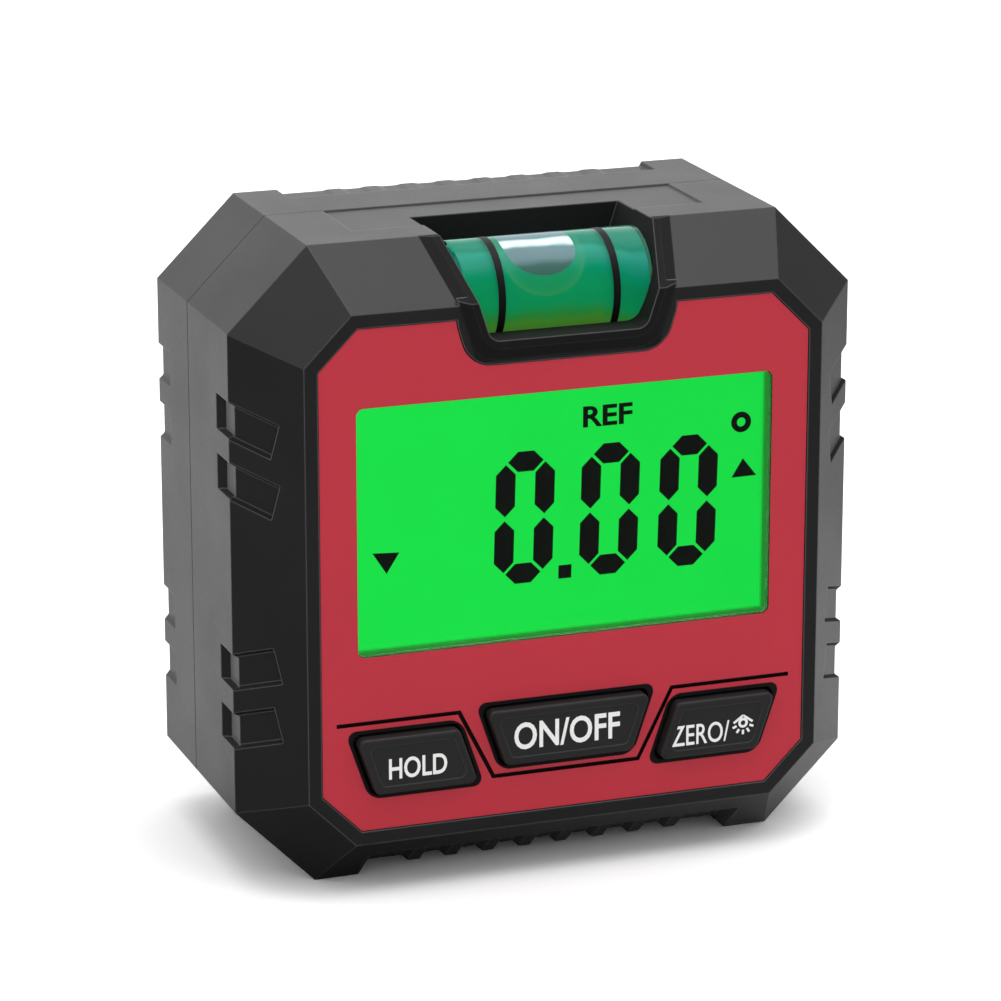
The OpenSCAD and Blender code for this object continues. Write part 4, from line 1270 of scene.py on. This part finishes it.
@dataclass
class Vial:
    """The spirit vial: clear tube, spirit coloured with dye, bubble and bands.

    The stops colour the spirit from below to above: yellow, deep green, then blue-green, as painted light and
    shade round the tube with a lighter painted highlight band near the top. Those of the sky paint the
    reflection that the bubble shows.
    """

    glass: Clear = Clear("vial_glass", (0.93, 1.0, 0.94), ior=1.2)
    ink: Printed = Printed("ring_black", (0.006, 0.006, 0.006))
    wall_mm: float = 0.6
    end_mm: float = 0.4
    round_mm: float = 0.25
    round_flats: int = 3
    band_mm: float = 0.7
    band_in_mm: float = 0.5  # from the end of the rings to the middle of the right band
    band_room_mm: float = 0.005
    spirit_over_mm: float = 0.03  # how far the spirit goes into the tube's wall
    # strength of the spirit's painted glow
    spirit_glow: float = 0.6
    bubble_over_mm: float = 0.05  # how far the bubble does
    bubble_half_mm: float = 6.0
    # strength of the bubble's painted glow
    bubble_glow: float = 0.7
    bubble_mm: Place = (3.4, 10.0, 2.2)
    bubble_sides: int = 64
    bubble_x_mm: float = -1.0
    level_mm: float = 4.0  # height of the bubble's middle above the axis
    halo_mm: Point = (3.9, 3.65)
    # painted light and shade round the tube; the lighter stop at 0.69 is a painted highlight band
    stops: Stops = (
        (0.1, (0.06, 0.15, 0.015)),
        (0.19, (0.075, 0.21, 0.02)),
        (0.275, (0.06, 0.26, 0.03)),
        (0.315, (0.025, 0.265, 0.045)),
        (0.375, (0.005, 0.3, 0.1)),
        (0.51, (0.003, 0.23, 0.095)),
        (0.565, (0.002, 0.225, 0.12)),
        (0.62, (0.012, 0.225, 0.155)),
        (0.69, (0.024, 0.25, 0.19)),
        (0.73, (0.006, 0.18, 0.115)),
        (0.775, (0.016, 0.19, 0.13)),
        (1.0, (0.05, 0.2, 0.15)),
    )
    # painted reflection of the sky in the bubble, with a white painted highlight bar from 0.735 to 0.775
    sky: Stops = (
        (0.0, (0.04, 0.1, 0.09)),
        (0.585, (0.04, 0.1, 0.09)),
        (0.63, (0.125, 0.195, 0.22)),
        (0.705, (0.125, 0.195, 0.22)),
        (0.735, (0.6, 0.72, 0.76)),
        (0.775, (0.6, 0.72, 0.76)),
        (0.805, (0.125, 0.195, 0.22)),
    )

    def build(self) -> None:
        """Replaces the tube with a smooth one, and fills and bands it."""
        low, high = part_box("vial_tube")
        axis = ((low.y + high.y) / 2, (low.z + high.z) / 2)
        radius = (high.z - low.z) / 2
        bore = radius - self.wall_mm * MM
        start, end = low.x + self.end_mm * MM, high.x - self.end_mm * MM
        tube = rod("vial_glass", radius, low.x, high.x, axis)
        bevel(tube, lambda a, b: abs(a.x - b.x) < SAME, self.round_mm, self.round_flats)
        cut(tube, rod("bore", bore, start, end, axis))
        smooth(tube)
        carry(tube, Body.CASE, self.glass.make())
        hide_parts("vial_tube")
        self.fill(bore, start, end, axis)
        self.bands(radius, axis)

    def fill(self, bore: float, start: float, end: float, axis: Point) -> None:
        """Sets the spirit and the bubble.

        Args:
            bore: Inner radius of the tube in metres.
            start: X of the bore's left end in metres.
            end: X of its right end in metres.
            axis: Y and Z of the tube's axis in metres.
        """
        half = self.bubble_half_mm * MM
        spirit = rod("vial_spirit", bore + self.spirit_over_mm * MM, start, end, axis)
        bubble = rod("vial_bubble", bore + self.bubble_over_mm * MM, -half, half, axis)
        place = (self.bubble_x_mm * MM, axis[0], axis[1] + self.level_mm * MM)
        cut(spirit, self.drop(place))
        cut(bubble, self.drop(place), Cut.INSIDE)
        smooth(spirit)
        smooth(bubble)
        # painted crescent of light below the bubble
        halo = Halo(*self.halo_mm, self.level_mm, self.bubble_x_mm)
        # painted glow, light and shade on the spirit
        dyed_and_lit = GlowingFill("spirit_dye_and_light", axis, self.spirit_glow, self.stops, halo)
        carry(spirit, Body.CASE, dyed_and_lit.make())
        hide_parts("vial_liquid", "vial_plug")
        # painted sky reflection and glow on the bubble
        pale = GlowingFill("bubble_painted_sky", axis, self.bubble_glow, self.sky)
        carry(bubble, Body.CASE, pale.make())

    def bands(self, radius: float, axis: Point) -> None:
        """Sets the two narrow black bands round the tube.

        Args:
            radius: Outer radius of the tube in metres.
            axis: Y and Z of the tube's axis in metres.
        """
        low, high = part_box("vial_rings")
        outer, wide = (high.z - low.z) / 2, self.band_mm * MM
        made = []
        for middle in (low.x + wide / 2, high.x - self.band_in_mm * MM):
            band = rod("band", outer, middle - wide / 2, middle + wide / 2, axis)
            cut(band, rod("hole", radius + self.band_room_mm * MM, middle - wide, middle + wide, axis))
            smooth(band)
            made.append(band)
        piece = joined(made, "vial_bands")
        carry(piece, Body.CASE, self.ink.make())
        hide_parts("vial_rings")

    def drop(self, place: Place) -> Piece:
        """Makes the smooth oval that bounds the bubble.

        Args:
            place: Its centre in metres.

        Returns:
            The oval.
        """
        clear_selection()
        size = tuple(s * MM for s in self.bubble_mm)
        sides = self.bubble_sides
        bpy.ops.mesh.primitive_uv_sphere_add(
            segments=sides, ring_count=sides // 2, radius=1.0, location=place, scale=size)
        made = bpy.context.object
        settle(made)
        return made


@dataclass
class Innards:
    """The board, its parts, the cells and their contacts."""

    board: BoardMask = BoardMask("board_mask", (0.012, 0.075, 0.025), (0.04, 0.15, 0.05))
    chip: Moulded = Moulded("chip_resin", (0.02, 0.02, 0.021), roughness=0.5, level=0.4, grain_mm=0.1)
    switch: Moulded = Moulded("switch_black", (0.015, 0.015, 0.016), level=0.4)
    ivory: Moulded = Moulded("plunger_ivory", (0.6, 0.54, 0.42), level=0.4)
    rubber: Moulded = Moulded("strip_rubber", (0.3, 0.09, 0.12), roughness=0.65, level=0.3)
    guide: Moulded = Moulded("guide_milky", (0.55, 0.75, 0.55), roughness=0.35)
    led: Moulded = Moulded("lamp_white", (0.8, 0.8, 0.7), roughness=0.3)
    nickel: Plated = Plated("contact_nickel", (0.72, 0.71, 0.68), 0.22)
    zinc: Plated = Plated("board_screw_zinc", (0.5, 0.5, 0.52), 0.34)

    def build(self) -> None:
        """Dresses what is inside."""
        dress(self.board, "main_board")
        dress(self.chip, "controller_chip", "tilt_sensor")
        dress(self.switch, "switch_bodies")
        dress(self.ivory, "hold_plunger", "power_plunger", "zero_plunger")
        dress(self.rubber, "zebra_strip")
        dress(self.guide, "light_guide")
        dress(self.led, "backlight_leds")
        dress(self.nickel, "contact_bridge", "contact_tabs")
        dress(self.zinc, "board_screws")
        low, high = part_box("battery_cells")
        dress(CellSleeve("cell_sleeve", (low.z + high.z) / 2, high.x), "battery_cells")


@dataclass
class Studio:
    """A pale floor, soft light from above and all round, and the camera.

    What the object mirrors is set apart from what the camera sees: the floor is dim in front of a slanting
    line and to the far right, and the surround is bright behind and above.
    """

    place: Place = (-0.13869, -0.37955, 0.15082)
    ahead: Place = (0.3275, 0.9015, -0.2831)
    lens: float = 161.645
    sensor: float = 36.0
    clip: Point = (0.01, 20.0)
    floor_half: float = 1.5
    floor_tones: Point = (0.84, 0.86)
    floor_cloud_mm: float = 120.0
    floor_shown: float = 1.28  # tone that the camera sees
    floor_slant: Point = (0.35, 0.9)  # share of x and y in the slanting line
    floor_line: Point = (-0.017, 0.004)  # where it begins and ends to get bright
    floor_right: Point = (0.08, 0.25)  # where it begins and ends to get dim again
    floor_right_dim: float = 0.45
    dim: float = 0.06
    lamp_watts: float = 2.0
    lamp_size: Point = (0.7, 0.6)
    lamp_place: Place = (0.08, -0.12, 0.65)
    ambient: float = 0.88
    haze: float = 0.12  # the least that is mirrored from any side
    back: float = 1.35
    back_slant: float = 0.2  # how far the bright back is turned to the right
    back_range: Point = (0.25, 1.0)
    back_power: float = 2.0
    overhead: float = 2.03
    overhead_range: Point = (0.62, 0.95)

    def floor(self) -> None:
        """Lays a wide pale floor that takes the object's shadow."""
        clear_selection()
        bpy.ops.mesh.primitive_plane_add(size=2 * self.floor_half)
        made = bpy.context.object
        made.name = "studio_floor"
        r = Recipe("floor_pale")
        path = r.node("LightPath").outputs
        across = r.maths("MULTIPLY", r.axis("X"), self.floor_slant[0])
        deep = r.maths("MULTIPLY", r.axis("Y"), self.floor_slant[1])
        behind = r.ranged(r.maths("ADD", across, deep), *self.floor_line, self.dim, 1.0)
        right = r.ranged(r.axis("X"), *self.floor_right, 1.0, self.floor_right_dim)
        bright = r.maths("MULTIPLY", behind, right)
        mirrored = r.node("CombineXYZ", {0: bright, 1: bright, 2: bright}).outputs[0]
        gloss = r.maths("MAXIMUM", path["Is Glossy Ray"], path["Is Transmission Ray"])
        cloud = r.noise(self.floor_cloud_mm, Detail.SOFT)
        pale = r.mixed(cloud, *(toned(WHITE, tone) for tone in self.floor_tones))
        tone = r.mixed(gloss, pale, mirrored)
        tone = r.mixed(path["Is Camera Ray"], tone, toned(WHITE, self.floor_shown))
        r.put(r.out.inputs["Surface"], r.node("BsdfDiffuse", {"Color": tone}).outputs[0])
        r.tree.nodes.remove(r.shader)
        made.data.materials.append(r.material)

    def light(self) -> None:
        """Sets the soft lamp above and the studio all round."""
        lamp = bpy.data.lights.new("soft_box", "AREA")
        lamp.shape = "RECTANGLE"
        lamp.size, lamp.size_y = self.lamp_size
        lamp.energy = self.lamp_watts
        box = bpy.data.objects.new("soft_box", lamp)
        bpy.context.scene.collection.objects.link(box)
        box.location = self.lamp_place
        box.visible_glossy = False
        self.surround()

    def surround(self) -> None:
        """Sets the even light all round, shown white to the camera and dimmer towards the front in gloss."""
        world = bpy.data.worlds.new("studio")
        bpy.context.scene.world = world
        world.use_nodes = True
        w = Nodes(world.node_tree)
        path = w.node("LightPath").outputs
        way = w.node("SeparateXYZ", {0: w.node("TexCoord").outputs["Generated"]}).outputs
        slanted = w.maths("MULTIPLY_ADD", way["X"], self.back_slant, way["Y"])
        curve = w.maths("POWER", w.ranged(slanted, *self.back_range, 0.0, 1.0), self.back_power)
        back = w.maths("MULTIPLY_ADD", curve, self.back, self.haze)
        above = w.ranged(way["Z"], *self.overhead_range, 0.0, self.overhead, interpolation_type="SMOOTHSTEP")
        gloss = w.maths("MAXIMUM", path["Is Glossy Ray"], path["Is Transmission Ray"])
        strengths = (self.ambient, w.maths("ADD", back, above), 1.0)
        soft, mirrored, shown = (
            w.node("Background", {"Color": WHITE, "Strength": strength}).outputs[0] for strength in strengths)
        unseen = w.node("MixShader", {0: gloss, 1: soft, 2: mirrored}).outputs[0]
        either = w.node("MixShader", {0: path["Is Camera Ray"], 1: unseen, 2: shown}).outputs[0]
        w.node("OutputWorld", {"Surface": either})

    def camera(self) -> None:
        """Sets the camera at the photograph's angle."""
        data = bpy.data.cameras.new("camera")
        data.lens = self.lens
        data.sensor_width = self.sensor
        data.clip_start, data.clip_end = self.clip
        made = bpy.data.objects.new("camera", data)
        bpy.context.scene.collection.objects.link(made)
        made.location = self.place
        made.rotation_euler = Vector(self.ahead).to_track_quat("-Z", "Y").to_euler()
        bpy.context.scene.camera = made

    def build(self) -> None:
        """Builds the studio."""
        self.floor()
        self.light()
        self.camera()
        bpy.context.scene.view_settings.view_transform = "Standard"


def main() -> None:
    """Builds the parts in order and notes each as done."""
    for part in (Studio(), Case(), Face(), Keys(), Vial(), Innards()):
        part.build()
        log.info("%s done", type(part).__name__)


if __name__ == "__main__":
    main()
